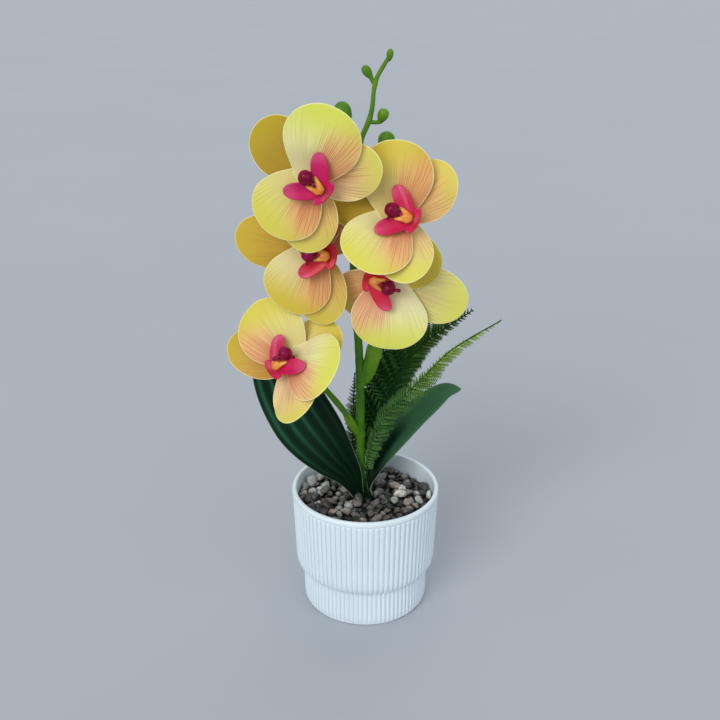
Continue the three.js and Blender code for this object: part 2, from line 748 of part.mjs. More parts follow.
function flowerStem() {
  const pieces = [taperedTube(STEM.map(vec), STEM.map((p) => p[3]), 7)];
  for (const b of BLOOMS) pieces.push(...pedicel(b));
  const thinWay = new THREE.Vector3(0, 1, 0);
  for (const b of BRACTS) pieces.push(taperedTube(b.map(vec), b.map((p) => p[3]), 6, 0.4, thinWay));
  for (const bud of BUDS) {
    const tipWay = vec(bud.towards).normalize();
    const seat = vec(bud.middle).addScaledVector(tipWay, -0.8 * bud.half[1]);
    const from = vec(bud.from);
    const bend = from.clone().lerp(seat, 0.55).add(new THREE.Vector3(0, 0, -0.5));
    if (from.distanceTo(seat) > 2) pieces.push(taperedTube([from, bend, seat], [0.9, 0.8, 0.9], 5));
    pieces.push(pointedOval(bud.middle, bud.towards, bud.half[0], bud.half[1], 7, 5, -0.12));
  }
  return joined(pieces);
}

// ---------------------------------------------------------------- leaves and ferns

// Share of a strap leaf's greatest width at the fraction t; point 0.5 gives a round tip, less a blunt one.
function leafShare(t, spec) {
  const past = (t - spec.widestAt) / (1 - spec.widestAt);
  if (past > 0) return Math.max(0, 1 - past ** 2.2) ** spec.point;
  return spec.base + (1 - spec.base) * Math.sin((Math.PI / 2) * (t / spec.widestAt)) ** spec.swell;
}

// A strap leaf: a ribbed blade on a stub that stands in the pot.
function leaf(spec) {
  const [footX, footY] = FEET[spec.foot].at;
  const curve = new THREE.CatmullRomCurve3(spec.line.map(vec), false, "centripetal");
  const rows = 11;
  const columns = spec.ribs * 2;
  const points = [];
  const faces = [];
  const backs = [];
  for (let i = 0; i <= rows; i++) {
    const t = 0.995 * (i / rows) ** 0.85;
    const along = curve.getTangentAt(t).normalize();
    const wide = vec(spec.across);
    wide.addScaledVector(along, -wide.dot(along)).normalize();
    const facing = wide.clone().cross(along).normalize();
    const half = Math.max(i < rows / 2 ? 1.5 : 0.4, spec.halfWidth * leafShare(t, spec));
    const centre = curve.getPointAt(t);
    const flatTip = 1 - 0.7 * THREE.MathUtils.smoothstep(t, 0.65, 0.95);
    for (let k = 0; k <= columns; k++) {
      const s = (2 * k) / columns - 1;
      const rib = k % 2 ? 0.35 : 0;
      const fold = spec.fold * flatTip + (s > 0 ? spec.cup * (1 - t) ** 6 : 0);
      const folded = i ? fold * half * (Math.hypot(s, 0.25) - 0.25) : 0;
      const rise = folded + rib * Math.min(1, half / 8);
      points.push(centre.clone().addScaledVector(wide, s * half).addScaledVector(facing, rise));
      backs.push(facing.clone().multiplyScalar(0.9 + 1.1 * (1 - t) ** 6));
    }
  }
  for (let i = 0; i < rows; i++)
    for (let k = 0; k < columns; k++) {
      const a = i * (columns + 1) + k;
      const b = a + columns + 1;
      if (k % 2) faces.push([a, a + 1, b + 1], [a, b + 1, b]);
      else faces.push([a, a + 1, b], [a + 1, b + 1, b]);
    }
  const blade = sheetSolid(points, faces, (i) => backs[i]);
  const first = vec(spec.line[0]);
  const low = new THREE.Vector3(footX, footY, FOOT_DEPTH_Z);
  const stub = taperedTube([low, first.clone().setZ(60), first.clone().setZ(66.5)], [2, 2, 1.5], 8);
  return geometryOf(outward(blade).add(outward(stub)));
}

// A fern frond: a thin arched blade cut to its rib into pointed leaflets that lean forwards.
function fern(spec) {
  const [footX, footY] = FEET[spec.foot].at;
  const curve = new THREE.CatmullRomCurve3(spec.line.map(vec), false, "centripetal");
  const rib = 0.7;
  const bare = 0.1;
  const points = [];
  const faces = [];
  const backs = [];
  const put = (p, facing) => {
    backs.push(facing.clone().multiplyScalar(0.8));
    return points.push(p) - 1;
  };
  let before = null;
  for (let i = 0; i <= spec.pairs; i++) {
    const t = bare + (1 - bare) * (i / spec.pairs);
    const along = curve.getTangentAt(t).normalize();
    const wide = vec(spec.across);
    wide.addScaledVector(along, -wide.dot(along)).normalize();
    const facing = wide.clone().cross(along).normalize();
    const centre = curve.getPointAt(t);
    const thin = rib * (1 - 0.5 * (i / spec.pairs));
    const here = [-1, 1].map((s) => put(centre.clone().addScaledVector(wide, s * thin), facing));
    if (before) {
      faces.push([before[0], before[1], here[1]], [before[0], here[1], here[0]]);
      [-1, 1].forEach((s, side) => {
        const u = (i - 0.5) / spec.pairs;
        const reach = spec.sides[side] * Math.min(1, 0.45 + 1.6 * u) * Math.min(1, 1.9 * (1 - u) + 0.12);
        const tip = centre.clone()
          .addScaledVector(wide, s * reach)
          .addScaledVector(along, 0.35 * reach)
          .addScaledVector(facing, -0.1 * reach);
        const k = put(tip, facing);
        if (s < 0) faces.push([before[0], here[0], k]);
        else faces.push([before[1], k, here[1]]);
      });
    }
    before = here;
  }
  const blade = sheetSolid(points, faces, (i) => backs[i]);
  const stalk = [0, bare * 0.5, bare, bare + 0.03].map((t) => curve.getPointAt(t));
  const low = new THREE.Vector3(footX, footY, FOOT_DEPTH_Z);
  const stem = taperedTube([low, ...stalk], [1, 1, 0.95, 0.9, 0.7], 6);
  return geometryOf(outward(blade).add(outward(stem)));
}

// ---------------------------------------------------------------- the whole plant

const plant = new THREE.Group();

function put(name, geometry, material) {
  const mesh = new THREE.Mesh(geometry, material);
  mesh.name = name;
  plant.add(mesh);
}

put("pot", pot(), FINISH.pot);
put("core", core(), FINISH.core);
put("gravel", gravel(), FINISH.gravel);
put("flower_stem", flowerStem(), FINISH.stem);
for (const spec of LEAVES) put(spec.name, leaf(spec), FINISH.leaf);
for (const spec of FERNS) put(spec.name, fern(spec), FINISH.fern);
for (const b of BLOOMS) plant.add(bloom(b));

export default plant;
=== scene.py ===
import math
import random

import bpy
import numpy as np
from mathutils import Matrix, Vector, noise


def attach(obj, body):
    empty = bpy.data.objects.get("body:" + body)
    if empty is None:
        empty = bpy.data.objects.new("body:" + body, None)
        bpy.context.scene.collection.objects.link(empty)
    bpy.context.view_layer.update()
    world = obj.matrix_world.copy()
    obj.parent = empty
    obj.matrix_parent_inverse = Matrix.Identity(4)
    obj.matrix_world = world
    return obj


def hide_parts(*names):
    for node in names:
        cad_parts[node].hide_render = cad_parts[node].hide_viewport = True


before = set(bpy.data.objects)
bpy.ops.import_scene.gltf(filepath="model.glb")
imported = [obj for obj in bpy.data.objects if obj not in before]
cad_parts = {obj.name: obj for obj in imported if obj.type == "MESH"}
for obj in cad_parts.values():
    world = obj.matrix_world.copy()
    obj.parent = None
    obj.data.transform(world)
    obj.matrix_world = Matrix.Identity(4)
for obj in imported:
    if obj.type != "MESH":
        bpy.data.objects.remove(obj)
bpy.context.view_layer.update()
scene = bpy.context.scene
MM = 0.001

# ---------------------------------------------------------------- sizes shared with the solids

POT = dict(
    height=68.9, rim=40.0, tier=38.45, foot=34.4, tier_z=26.2, step_z=21.4, wall=2.4, floor=3.0,
    lip=3.2, ribs=84, rib_depth=0.5,
)
GRAVEL_TOP = 59.6
CORE_TOP = 56.0

FEET = {
    "stem": (-2.5, 7.5),
    "leaf_left": (-3.6, 0.4),
    "leaf_right": (2.8, 0.2),
    "fern_back": (3.2, 9.8),
    "fern_front": (0.4, 5.0),
    "fern_left": (-7.6, 8.4),
}

SEPALS_BEHIND = 1.7
PETAL = dict(length=36.0, width=36.0, base=0.42, widest=0.55, curl=24.0, camber=0.22)
SEPAL = dict(length=34.0, width=26.0, base=0.36, widest=0.55, curl=20.0, camber=0.22)

# turn, tip, lean: degrees that a bloom looks to its side, looks up, and is rolled; petals, sepals: the
# angle and forward lift of each in degrees, then its shares of length and width where they aren't 1;
# stem_z: where the bloom's own stem starts; nub: angle and size of the stub on its column; red: how red
# the lip is; pink: how pink the blush is; the tints: gold, blush and cream in the print of each lobe.
BLOOMS = [
    dict(
        name="bloom_1", centre=(-25.6, -32, 244.4), turn=-3, tip=9, lean=47, petal=0.98,
        sepal_length=1.08, sepal_width=1.03, petals=[(95, 7, 0.9, 0.93), (-69, 33)],
        sepals=[(0, -6, 0.97), (131, 3, 0.95), (-128, 26, 0.94)], stem_z=241, nub=(180, 1), red=0.0, pink=0.3,
        petal_tints=[(0.26, 1.0, 0.5), (0.04, 1.0, 0.9)],
        sepal_tints=[(1.0, 0.15, 0.0), (0.35, 0.5, 0.2), (0.2, 0.8, 0.9)],
    ),
    dict(
        name="bloom_2", centre=(13, -27, 226), turn=-7, tip=27, lean=68, petal=0.95,
        sepal_length=1.0, sepal_width=1.03, petals=[(87, 34, 0.97, 0.98), (-69, 34)],
        sepals=[(0, 5), (129, 24), (-118, 20)], stem_z=240, nub=(90, 0.4), red=0.45, pink=0.5,
        petal_tints=[(0.2, 0.9, 0.8), (0.5, 0.9, 0.5)],
        sepal_tints=[(0.9, 0.1, 0.0), (0.2, 0.35, 0.6), (0.4, 0.75, 0.4)],
    ),
    dict(
        name="bloom_3", centre=(-25.3, -17, 206.3), turn=-6, tip=5, lean=83, petal=0.93,
        sepal_length=1.12, sepal_width=1.01, petals=[(72, 10), (-80, -6)],
        sepals=[(0, 0, 1.07), (105, 9), (-132, -10, 0.94)], stem_z=206, nub=(90, 0.4), red=1.0, pink=0.2,
        petal_tints=[(0.5, 1.0, 0.9), (0.6, 1.0, 0.2)],
        sepal_tints=[(0.8, 0.2, 0.0), (0.5, 0.45, 0.2), (0.65, 0.9, 0.1)],
    ),
    dict(
        name="bloom_4", centre=(11.5, -20.5, 192), turn=-11, tip=0, lean=-106, petal=1.0,
        sepal_length=1.12, sepal_width=1.0, petals=[(62, 8, 0.8, 0.8), (-75, 13, 0.97, 1.05)],
        sepals=[(-3, 4, 1.03, 1.08), (128, 6, 0.88), (-130, -10, 0.92, 1.05)], stem_z=128, nub=(10, 1),
        # bloom_4's first petal has a lighter gold than its ochre print, so that it stays light in the shade
        # of bloom_2's sepal: partly painted light.
        red=0.8, pink=1.0, petal_tints=[(0.5, 0.3, 0.0), (0.06, 1.0, 1.2)],
        sepal_tints=[(0.1, 0.2, 0.7), (0.9, 0.1, 0.0), (0.45, 0.8, 0.4)],
    ),
    dict(
        name="bloom_5", centre=(-36, -22, 152), turn=-28, tip=37, lean=-34, petal=0.96,
        sepal_length=1.0, sepal_width=1.03, petals=[(84, 34), (-64, 34)],
        sepals=[(0, 4, 0.82), (123, 22, 1.08), (-125, 25)], stem_z=97, nub=(165, 1.6), red=0.3, pink=0.8,
        petal_tints=[(0.32, 1.0, 0.6), (0.08, 1.0, 1.1)],
        sepal_tints=[(0.5, 0.1, 0.4), (0.85, 0.3, 0.0), (0.3, 0.6, 0.9)],
    ),
]

# The flower stem from the foot to the last bud: x, y, z, radius.
STEM = [
    (-2.5, 7.5, 52, 2.2), (-2.5, 7.5, 60, 2.2), (-2.4, 6.5, 84, 2.2), (-2.6, 4.5, 108, 2.25),
    (-2.9, 2, 130, 2.2), (-3.6, 1, 150, 2.1), (-5, 1, 172, 1.9), (-6.3, 1, 195, 1.8),
    (-6, 1, 220, 1.6), (-4, 0.5, 242, 1.35), (-2.4, 0, 255, 1.25), (1.4, 0, 264.6, 1.2),
    (2.9, 0, 271, 1.1), (3.4, 0, 277, 1.05), (4.4, 0, 282.5, 1.05), (7.6, 0, 288.5, 1.0),
    (10.2, 0, 292.6, 0.95),
]

# Buds: start of the bud's own stalk, middle of the bud, way its tip points, half-width, half-length.
BUDS = [
    ((10.2, 0, 292.4), (10.7, 0, 293.6), (0.15, 0, 1), 1.55, 2.9),
    ((4, 0, 281), (0.5, 0, 286.2), (-0.55, 0, 0.8), 2.1, 3.4),
    ((1.4, 0, 264), (7.7, 0, 266.6), (0.35, 0, 0.9), 2.6, 3.5),
    ((-2.4, 1, 252), (9.6, 4, 253.4), (0.1, 0.1, 1), 4.0, 5.4),
    ((-3.4, 0.6, 246), (-10.6, 1, 267.3), (-0.3, 0, 0.9), 4.0, 5.8),
]

# Bracts: x, y, z and half-width from foot to tip.
BRACTS = [
    [
        (-1.8, 3, 127, 1.4), (0.4, 1.8, 131, 2.2), (2.4, 0.8, 138, 3.6), (4.4, -0.4, 148, 4.3),
        (6.5, -1.6, 158, 2),
    ],
    [(-4, 3, 98, 1.4), (-7.5, 1.6, 105, 2.3), (-10.5, 0.2, 111.5, 1.6)],
]

# half: half-width where the leaf is widest, at that share of its length; base: its share at the foot;
# swell, point: how full the outline is before and after the widest place; across: the way from its left
# edge to its right; fold: how far the edges rise; cup: how much more the right one does at the foot;
# light: how much of the upper side is lit; line: the middle from foot to tip.
LEAVES = [
    dict(
        name="leaf_left", half=17.5, widest=0.5, base=0.18, swell=1.2, point=0.5, cup=0.0,
        across=(0.88, 0.05, 0.44), fold=0.12, ribs=5, rib_height=0.175, light=0.0,
        line=[
            (-3.6, 0.4, 61.5), (-9.2, 1.6, 74), (-17.2, 3, 84), (-26, 5, 95), (-35, 8, 107.5), (-46, 13, 131),
            (-50, 17, 155),
        ],
    ),
    dict(
        name="leaf_right", half=8.4, widest=0.6, base=0.16, swell=0.8, point=0.7, cup=0.9,
        across=(0.38, -0.82, -0.43), fold=0.5, ribs=3, rib_height=0.07, light=1.0,
        line=[
            (2.8, 0.2, 62), (4.2, 2, 71), (9.5, 6.5, 80.5), (24.3, 9, 101), (34.5, 9, 113), (43, 8.5, 121),
            (51, 7, 123),
        ],
    ),
]

# sides: how far the leaflets reach to either side; full: how much farther they do in the lower half;
# low: their share of that at the foot; young: how yellow-green the frond's end is.
FERNS = [
    dict(
        name="fern_back", across=(-0.72, 0.5, 0.42), seed=3,
        sides=(9.5, 14), full=(1.0, 1.65), low=0.8, young=0.25,
        line=[
            (3.2, 9.8, 64), (6, 17, 79), (11, 23, 96.5), (16.2, 25, 115.5), (23, 25, 130.5),
            (32.5, 25, 142.5), (57.5, 25, 161),
        ],
    ),
    dict(
        name="fern_front", across=(0.6, -0.55, -0.55), seed=5,
        sides=(2.5, 8.8), full=(2.2, 1.0), low=0.6, young=0.95,
        line=[
            (0.4, 5, 64), (1.3, 1.9, 78), (4, -5, 97), (11, -8, 115), (28, -9, 135), (43, -9, 151.5),
            (67.5, -9, 168),
        ],
    ),
    dict(
        name="fern_left", across=(0.85, 0.5, 0.1), seed=9,
        sides=(6.5, 6.5), full=(1.0, 1.0), low=0.5, young=0.1,
        line=[(-7.6, 8.4, 64), (-7.2, 11, 82), (-6.6, 13, 102), (-6.2, 14, 117), (-5.7, 14.6, 129)],
    ),
]

# ---------------------------------------------------------------- meshes


def unit(v):
    v = np.asarray(v, float)
    return v / np.linalg.norm(v)


def each_unit(rows):
    return rows / np.linalg.norm(rows, axis=1)[:, None]


def smoothstep(low, high, x):
    t = np.clip((np.asarray(x, float) - low) / (high - low), 0, 1)
    return t * t * (3 - 2 * t)


def circle(sides):
    return [2 * math.pi * k / sides for k in range(sides)]


class Shape:
    """Closed shells gathered into one mesh: points in millimetres, faces, and values per point."""

    def __init__(self, place=None):
        self.place = place or (lambda points: points)
        self.points, self.faces, self.values = [], [], {}
        self.count = 0

    def add(self, points, faces, **values):
        points = self.place(np.asarray(points, float))
        volume = 0.0
        for f in faces:
            for i in range(1, len(f) - 1):
                volume += np.dot(points[f[0]], np.cross(points[f[i]], points[f[i + 1]]))
        if volume < 0:
            faces = [tuple(reversed(f)) for f in faces]
        self.points.append(points)
        self.faces.extend(tuple(i + self.count for i in f) for f in faces)
        for name, value in values.items():
            column = np.broadcast_to(np.asarray(value, float), len(points))
            self.values.setdefault(name, []).extend(column)
        self.count += len(points)

    def add_run(self, shell, **values):
        """Adds a shell that comes with its run; a pair of numbers is a value at its start and its rise."""
        xyz, faces, run = shell
        ramps = {k: v[0] + v[1] * run if isinstance(v, tuple) else v for k, v in values.items()}
        self.add(xyz, faces, **ramps)

    def mesh(self, name):
        mesh = bpy.data.meshes.new(name)
        mesh.from_pydata((np.concatenate(self.points) * MM).tolist(), [], self.faces)
        mesh.shade_smooth()
        for key, value in self.values.items():
            mesh.attributes.new(key, "FLOAT", "POINT").data.foreach_set("value", value)
        return mesh


def new_object(name, data):
    obj = bpy.data.objects.new(name, data)
    scene.collection.objects.link(obj)
    return obj


def settle(obj, node):
    """Ties a finished piece to the part: what it rides on and what it stands for."""
    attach(obj, "root")
    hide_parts(node)


def piece(name, shape, material, node):
    mesh = shape.mesh(name)
    mesh.materials.append(material)
    settle(new_object(name, mesh), node)


LINE_STEPS = 24  # between two of its given points


def smooth_line(points, count):
    """A centripetal Catmull-Rom line through points, in equal steps; further columns follow along."""
    p = np.asarray(points, float)
    p = np.vstack([2 * p[0] - p[1], p, 2 * p[-1] - p[-2]])
    dense = []

    def between(a, b, ka, kb, s):
        return ((kb - s) * a + (s - ka) * b) / (kb - ka)

    for i in range(1, len(p) - 2):
        a, b, c, d = p[i - 1 : i + 3]
        k = [0.0]
        for u, v in ((a, b), (b, c), (c, d)):
            k.append(k[-1] + max(np.linalg.norm((v - u)[:3]), 1e-6) ** 0.5)
        for s in np.linspace(k[1], k[2], LINE_STEPS, endpoint=False):
            ab, bc, cd = (between(*pair, s) for pair in zip((a, b, c), (b, c, d), k, k[1:]))
            abc, bcd = between(ab, bc, k[0], k[2], s), between(bc, cd, k[1], k[3], s)
            dense.append(between(abc, bcd, k[1], k[2], s))
    dense = np.array(dense + [p[-2]])
    run = np.concatenate([[0], np.cumsum(np.linalg.norm(np.diff(dense[:, :3], axis=0), axis=1))])
    at = np.linspace(0, run[-1], count)
    return np.stack([np.interp(at, run, column) for column in dense.T], axis=1)


def side_faces(rows, sides, start=0):
    """Quads between rings of points that follow each other."""
    pairs = [(k, (k + 1) % sides) for k in range(sides)]
    rings = range(start, start + (rows - 1) * sides, sides)
    return [(a + k, a + m, a + m + sides, a + k + sides) for a in rings for k, m in pairs]


def ring_faces(rows, sides, start, first, last):
    """The same, closed by a fan to a point at either end."""
    faces = side_faces(rows, sides, start)
    top = start + (rows - 1) * sides
    for k in range(sides):
        m = (k + 1) % sides
        faces += [(first, start + m, start + k), (last, top + k, top + m)]
    return faces


def tube(points, radii, sides=14, flat=1.0, thin=None):
    """A closed tube with rounded ends; flat squeezes it along thin. Also the run (0 to 1) per point."""
    points = np.asarray(points, float)
    tangents = each_unit(np.gradient(points, axis=0))
    rings = [(p, t, radii[i], i / (len(points) - 1)) for i, (p, t) in enumerate(zip(points, tangents))]
    for turn in (25, 50, 75):
        sin, cos = math.sin(math.radians(turn)), math.cos(math.radians(turn))
        rings.insert(0, (points[0] - tangents[0] * radii[0] * sin, tangents[0], radii[0] * cos, 0.0))
        rings.append((points[-1] + tangents[-1] * radii[-1] * sin, tangents[-1], radii[-1] * cos, 1.0))
    normal = (1, 0, 0) if abs(tangents[0][2]) > 0.9 else (0, 0, 1)
    xyz, run = [], []
    for centre, along, radius, share in rings:
        guess = np.asarray(normal if thin is None else thin, float)
        normal = unit(guess - along * np.dot(guess, along))
        side = np.cross(along, normal)
        for a in circle(sides):
            xyz.append(centre + normal * radius * flat * math.cos(a) + side * radius * math.sin(a))
            run.append(share)
    xyz += [points[0] - tangents[0] * radii[0], points[-1] + tangents[-1] * radii[-1]]
    faces = ring_faces(len(rings), sides, 0, len(run), len(run) + 1)
    return np.array(xyz), faces, np.array(run + [0.0, 1.0])


def egg(middle, towards, half_width, half_length, sides=20, rows=12, pinch=0.0, crease=0.0):
    """A closed egg about its own axis, with three shallow creases from base to tip."""
    axis = unit(towards)
    side = unit(np.cross(axis, (0.3, 1, 0.2)))
    other = np.cross(axis, side)
    middle = np.asarray(middle)
    xyz, run = [middle - axis * half_length], [0.0]
    for i in range(1, rows):
        a = math.pi * i / rows - math.pi / 2
        r = half_width * math.cos(a) * (1 - pinch * math.sin(a))
        for turn in circle(sides):
            groove = 1 - crease * max(0.0, math.cos(3 * turn)) ** 12 * math.cos(a)
            way = side * math.cos(turn) + other * math.sin(turn)
            xyz.append(middle + axis * half_length * math.sin(a) + way * r * groove)
            run.append(i / rows)
    xyz.append(middle + axis * half_length)
    return np.array(xyz), ring_faces(rows - 1, sides, 1, 0, len(xyz) - 1), np.array(run + [1.0])


def lathe(profile, sides):
    """A closed body of revolution; the profile runs from axis to axis."""
    xyz = [(0.0, 0.0, profile[0][1])]
    for r, z in profile[1:-1]:
        xyz += [(r * math.cos(a), r * math.sin(a), z) for a in circle(sides)]
    xyz.append((0.0, 0.0, profile[-1][1]))
    return xyz, ring_faces(len(profile) - 2, sides, 1, 0, len(xyz) - 1)


def ringed_sheet(rings, normals, thickness, bead):
    """A closed sheet from rings of front points, the first of them all in the centre, with a rounded rim."""
    count = len(rings[0])
    front, up = (np.vstack([rows[0][:1], *rows[1:]]) for rows in (rings, normals))
    deep = np.concatenate([[thickness[0]], np.repeat(thickness[1:], count)])
    ahead, behind = np.roll(rings[-1], -1, axis=0), np.roll(rings[-1], 1, axis=0)
    outwards = each_unit(np.cross(ahead - behind, up[-count:]))
    if np.mean(np.sum(outwards * (rings[-1] - rings[0]), axis=1)) < 0:
        outwards = -outwards
    rim = front[-count:] - up[-count:] * thickness[-1] / 2 + outwards * bead
    n = len(front)
    faces = []
    for base, way in ((0, 1), (n + count, -1)):
        for k in range(count):
            m = (k + 1) % count
            faces.append((base, base + 1 + k, base + 1 + m)[::way])
            for a in range(base + 1, base + n - count, count):
                faces.append((a + k, a + count + k, a + count + m, a + m)[::way])
    for k in range(count):
        m = (k + 1) % count
        faces.append((n - count + k, n + k, n + m, n - count + m))
        faces.append((n + k, 2 * n + k, 2 * n + m, n + m))
    return np.vstack([front, rim, front - up * deep[:, None]]), faces


# ---------------------------------------------------------------- node trees


class Wire:
    """One value in a node tree. Sums and products of wires become Math nodes."""

    def __init__(self, tree, socket):
        self.tree, self.socket = tree, socket

    def math(self, operation, b=0.0, c=0.0, clamp=False):
        return self.tree.add("ShaderNodeMath", {0: self, 1: b, 2: c}, operation=operation, use_clamp=clamp)

    def __add__(self, b):
        return self.math("ADD", b)

    def __sub__(self, b):
        return self.math("SUBTRACT", b)

    def __mul__(self, b):
        return self.math("MULTIPLY", b)

    def __truediv__(self, b):
        return self.math("DIVIDE", b)

    def ease(self, low, high, out_low=0.0, out_high=1.0):
        values = {"Value": self, "From Min": low, "From Max": high, "To Min": out_low, "To Max": out_high}
        return self.tree.add("ShaderNodeMapRange", values, interpolation_type="SMOOTHSTEP")

    def steps(self, *stops, interpolation="LINEAR"):
        """A colour ramp: each stop is a place and a colour."""
        wire = self.tree.add("ShaderNodeValToRGB", {0: self})
        ramp = wire.socket.node.color_ramp
        ramp.interpolation = interpolation
        while len(ramp.elements) < len(stops):
            ramp.elements.new(0.5)
        for element, (at, colour) in zip(ramp.elements, stops):
            element.position = at
            element.color = (*colour, 1.0)
        return wire

    def under(self, *layers):
        """This colour with others laid over it: each layer is its share and its colour."""
        colour = self
        for share, over in layers:
            colour = self.tree.mix(share, colour, over)
        return colour


class Tree:
    """A node tree; start holds the inputs of a group."""

    def __init__(self, tree, inputs=(), outputs=()):
        self.tree = tree
        for label, kind, default in inputs:
            item = tree.interface.new_socket(label, in_out="INPUT", socket_type="NodeSocket" + kind)
            if default is not None:
                item.default_value = default
        for label, kind in outputs:
            tree.interface.new_socket(label, in_out="OUTPUT", socket_type="NodeSocket" + kind)
        if outputs:
            self.start = tree.nodes.new("NodeGroupInput").outputs
            self.end = tree.nodes.new("NodeGroupOutput")

    def __getitem__(self, label):
        return Wire(self, self.start[label])

    def set(self, node, values):
        for key, value in values.items():
            socket = node.inputs[key.replace("_", " ") if isinstance(key, str) else key]
            if isinstance(value, Wire):
                self.tree.links.new(value.socket, socket)
            elif socket.type == "RGBA":
                socket.default_value = (*value, 1.0)
            else:
                socket.default_value = value

    def add(self, kind, inputs=None, out=0, **settings):
        """A new node with its inputs set or linked; gives the wire of one of its outputs."""
        node = self.tree.nodes.new(kind)
        for key, value in settings.items():
            setattr(node, key, value)
        self.set(node, inputs or {})
        return Wire(self, node.outputs[out])

    def mix(self, share, a, b):
        return self.add("ShaderNodeMix", {0: share, 6: a, 7: b}, out=2, data_type="RGBA")

    def per_point(self, *names):
        """The values that a mesh holds per point under these names."""
        kind = dict(out="Fac", attribute_type="GEOMETRY")
        found = [self.add("ShaderNodeAttribute", **kind, attribute_name=name) for name in names]
        return found[0] if len(found) == 1 else found

    def grain(self, scale, detail=3.0, rough=0.55, stretch=(1, 1, 1)):
        """Noise on object coordinates: scale in waves per metre, stretched along the axes."""
        place = self.add("ShaderNodeTexCoord", out="Object")
        turned = self.add("ShaderNodeMapping", {"Vector": place, "Scale": stretch})
        values = {"Vector": turned, "Scale": scale, "Detail": detail, "Roughness": rough}
        return self.add("ShaderNodeTexNoise", values)

    def shared(self, group, out=0, **inputs):
        return self.add("ShaderNodeGroup", inputs, out, node_tree=group)


class Finish(Tree):
    """A material: a Principled shader fed by colours worked out from mottling and values per point."""

    def __init__(self, name, patch, speckle, **constants):
        self.material = bpy.data.materials.new(name)
        self.material.use_nodes = True
        super().__init__(self.material.node_tree)
        self.shader = self.tree.nodes["Principled BSDF"]
        self.set(self.shader, constants)
        self.patches = self.shared(MOTTLE, "Patches", Patch_Scale=patch, Speckle_Scale=speckle)
        self.speckle = Wire(self, self.patches.socket.node.outputs["Speckle"])

    def done(self, base, height, strength, distance, rough=None):
        """Feeds the shader: colour, bump and, if given, the roughness where its value is low and high."""
        bump = self.add("ShaderNodeBump", {"Height": height, "Strength": strength, "Distance": distance})
        self.set(self.shader, {"Base Color": base, "Normal": bump})
        if rough:
            value, low, high = rough
            self.set(self.shader, {"Roughness": value.ease(0.3, 0.7, low, high)})
        return self.material


# ---------------------------------------------------------------- shared effects


def make_vein_group():
    """Lines that fan out along a petal, each ending at its own distance."""
    defaults = dict(Along=0.0, Fan=0.0, Span=10.0, Lines=12.0, Width=0.2, Reach=0.9, Wander=0.5, Seed=0.0)
    tree = bpy.data.node_groups.new("fanned_veins", "ShaderNodeTree")
    group = Tree(tree, [(label, "Float", value) for label, value in defaults.items()], [("Mask", "Float")])
    along, fan, span, lines, width, reach, wander, seed = (group[label] for label in defaults)
    place = group.add("ShaderNodeCombineXYZ", {0: along * 2.4, 1: fan, 2: seed})
    sway = group.add("ShaderNodeTexNoise", {"Vector": place, "Scale": 2.2, "Detail": 1.0})
    x = fan * (lines * 0.5) + sway * wander
    off = (x.math("FRACT") - 0.5).math("ABSOLUTE")
    pitch = span * 2.0 / lines
    line = (off * pitch).ease(width * 0.25, width, 1.0, 0.0)
    chance = group.add("ShaderNodeTexWhiteNoise", {"W": x.math("FLOOR") + seed}, noise_dimensions="1D")
    reach = reach * chance.math("MULTIPLY_ADD", 0.55, 0.45)
    group.set(group.end, {"Mask": line * along.ease(reach - 0.3, reach, 1.0, 0.0)})
    return tree


def make_mottle_group():
    """Soft patches and fine speckle as one value each round 0.5, for colour and roughness."""
    tree = bpy.data.node_groups.new("mottle", "ShaderNodeTree")
    inputs = [("Patch Scale", "Float", 60.0), ("Speckle Scale", "Float", 900.0)]
    group = Tree(tree, inputs, [("Patches", "Float"), ("Speckle", "Float")])
    group.set(group.end, {"Patches": group.grain(group["Patch Scale"], 2.0)})
    group.set(group.end, {"Speckle": group.grain(group["Speckle Scale"], 4.0, 0.6)})
    return tree


VEINS = make_vein_group()
MOTTLE = make_mottle_group()


# ---------------------------------------------------------------- finishes


def petal_finish():
    """Printed cloth: lemon to ochre ground, cream heart that is partly painted light, peach blush with
    red-brown veins, pale cut rim.
    """
    f = Finish("petal_print", 45.0, 1600.0, Specular_IOR_Level=0.12)
    along, fan, span, blush, cream, tone, edge, pink = f.per_point(
        "along", "fan", "span", "blush", "cream", "tone", "edge", "pink",
    )
    fanned = dict(Along=along, Fan=fan, Span=span)
    wide = f.shared(VEINS, **fanned, Lines=29.0, Width=0.25, Reach=1.0, Wander=0.5, Seed=3.0)
    fine = f.shared(VEINS, **fanned, Lines=63.0, Width=0.15, Reach=0.85, Wander=0.9, Seed=11.0)
    veins = wide.math("MAXIMUM", fine * 0.7)
    flush = blush * f.patches.ease(0.2, 0.8, 0.7, 1.05)
    peach = f.mix(pink, (0.84, 0.33, 0.13), (0.88, 0.37, 0.26))
    red_pen = f.mix(pink, (0.44, 0.09, 0.03), (0.60, 0.075, 0.085))
    pen = f.mix(blush.ease(0.05, 0.4), (0.36, 0.2, 0.03), red_pen)
    ground = tone.steps(
        (0.0, (0.72, 0.76, 0.12)), (0.3, (0.70, 0.61, 0.09)), (0.65, (0.64, 0.44, 0.04)),
        (1.0, (0.38, 0.28, 0.01)),
    )
    ground = ground.under(
        (f.patches.ease(0.35, 0.7, 0.0, 0.3) * tone.math("MULTIPLY_ADD", -1.0, 1.0), (0.80, 0.72, 0.2)),
        # The cream is paler than the print's own: partly print, partly painted light against the shade from
        # the lip and column.
        (cream.math("MULTIPLY", 0.8, clamp=True), (0.95, 0.89, 0.53)),
        (flush.math("MULTIPLY", 0.7, clamp=True), peach),
        (veins.math("MULTIPLY", blush.math("MULTIPLY_ADD", 0.46, 0.27), clamp=True), pen),
        (edge.ease(0.1, 0.5, 0.75, 0.0), (0.90, 0.86, 0.44)),
    )
    return f.done(ground, veins * -0.5 + f.speckle * 0.35, 0.3, 0.00025, (f.speckle, 0.6, 0.76))


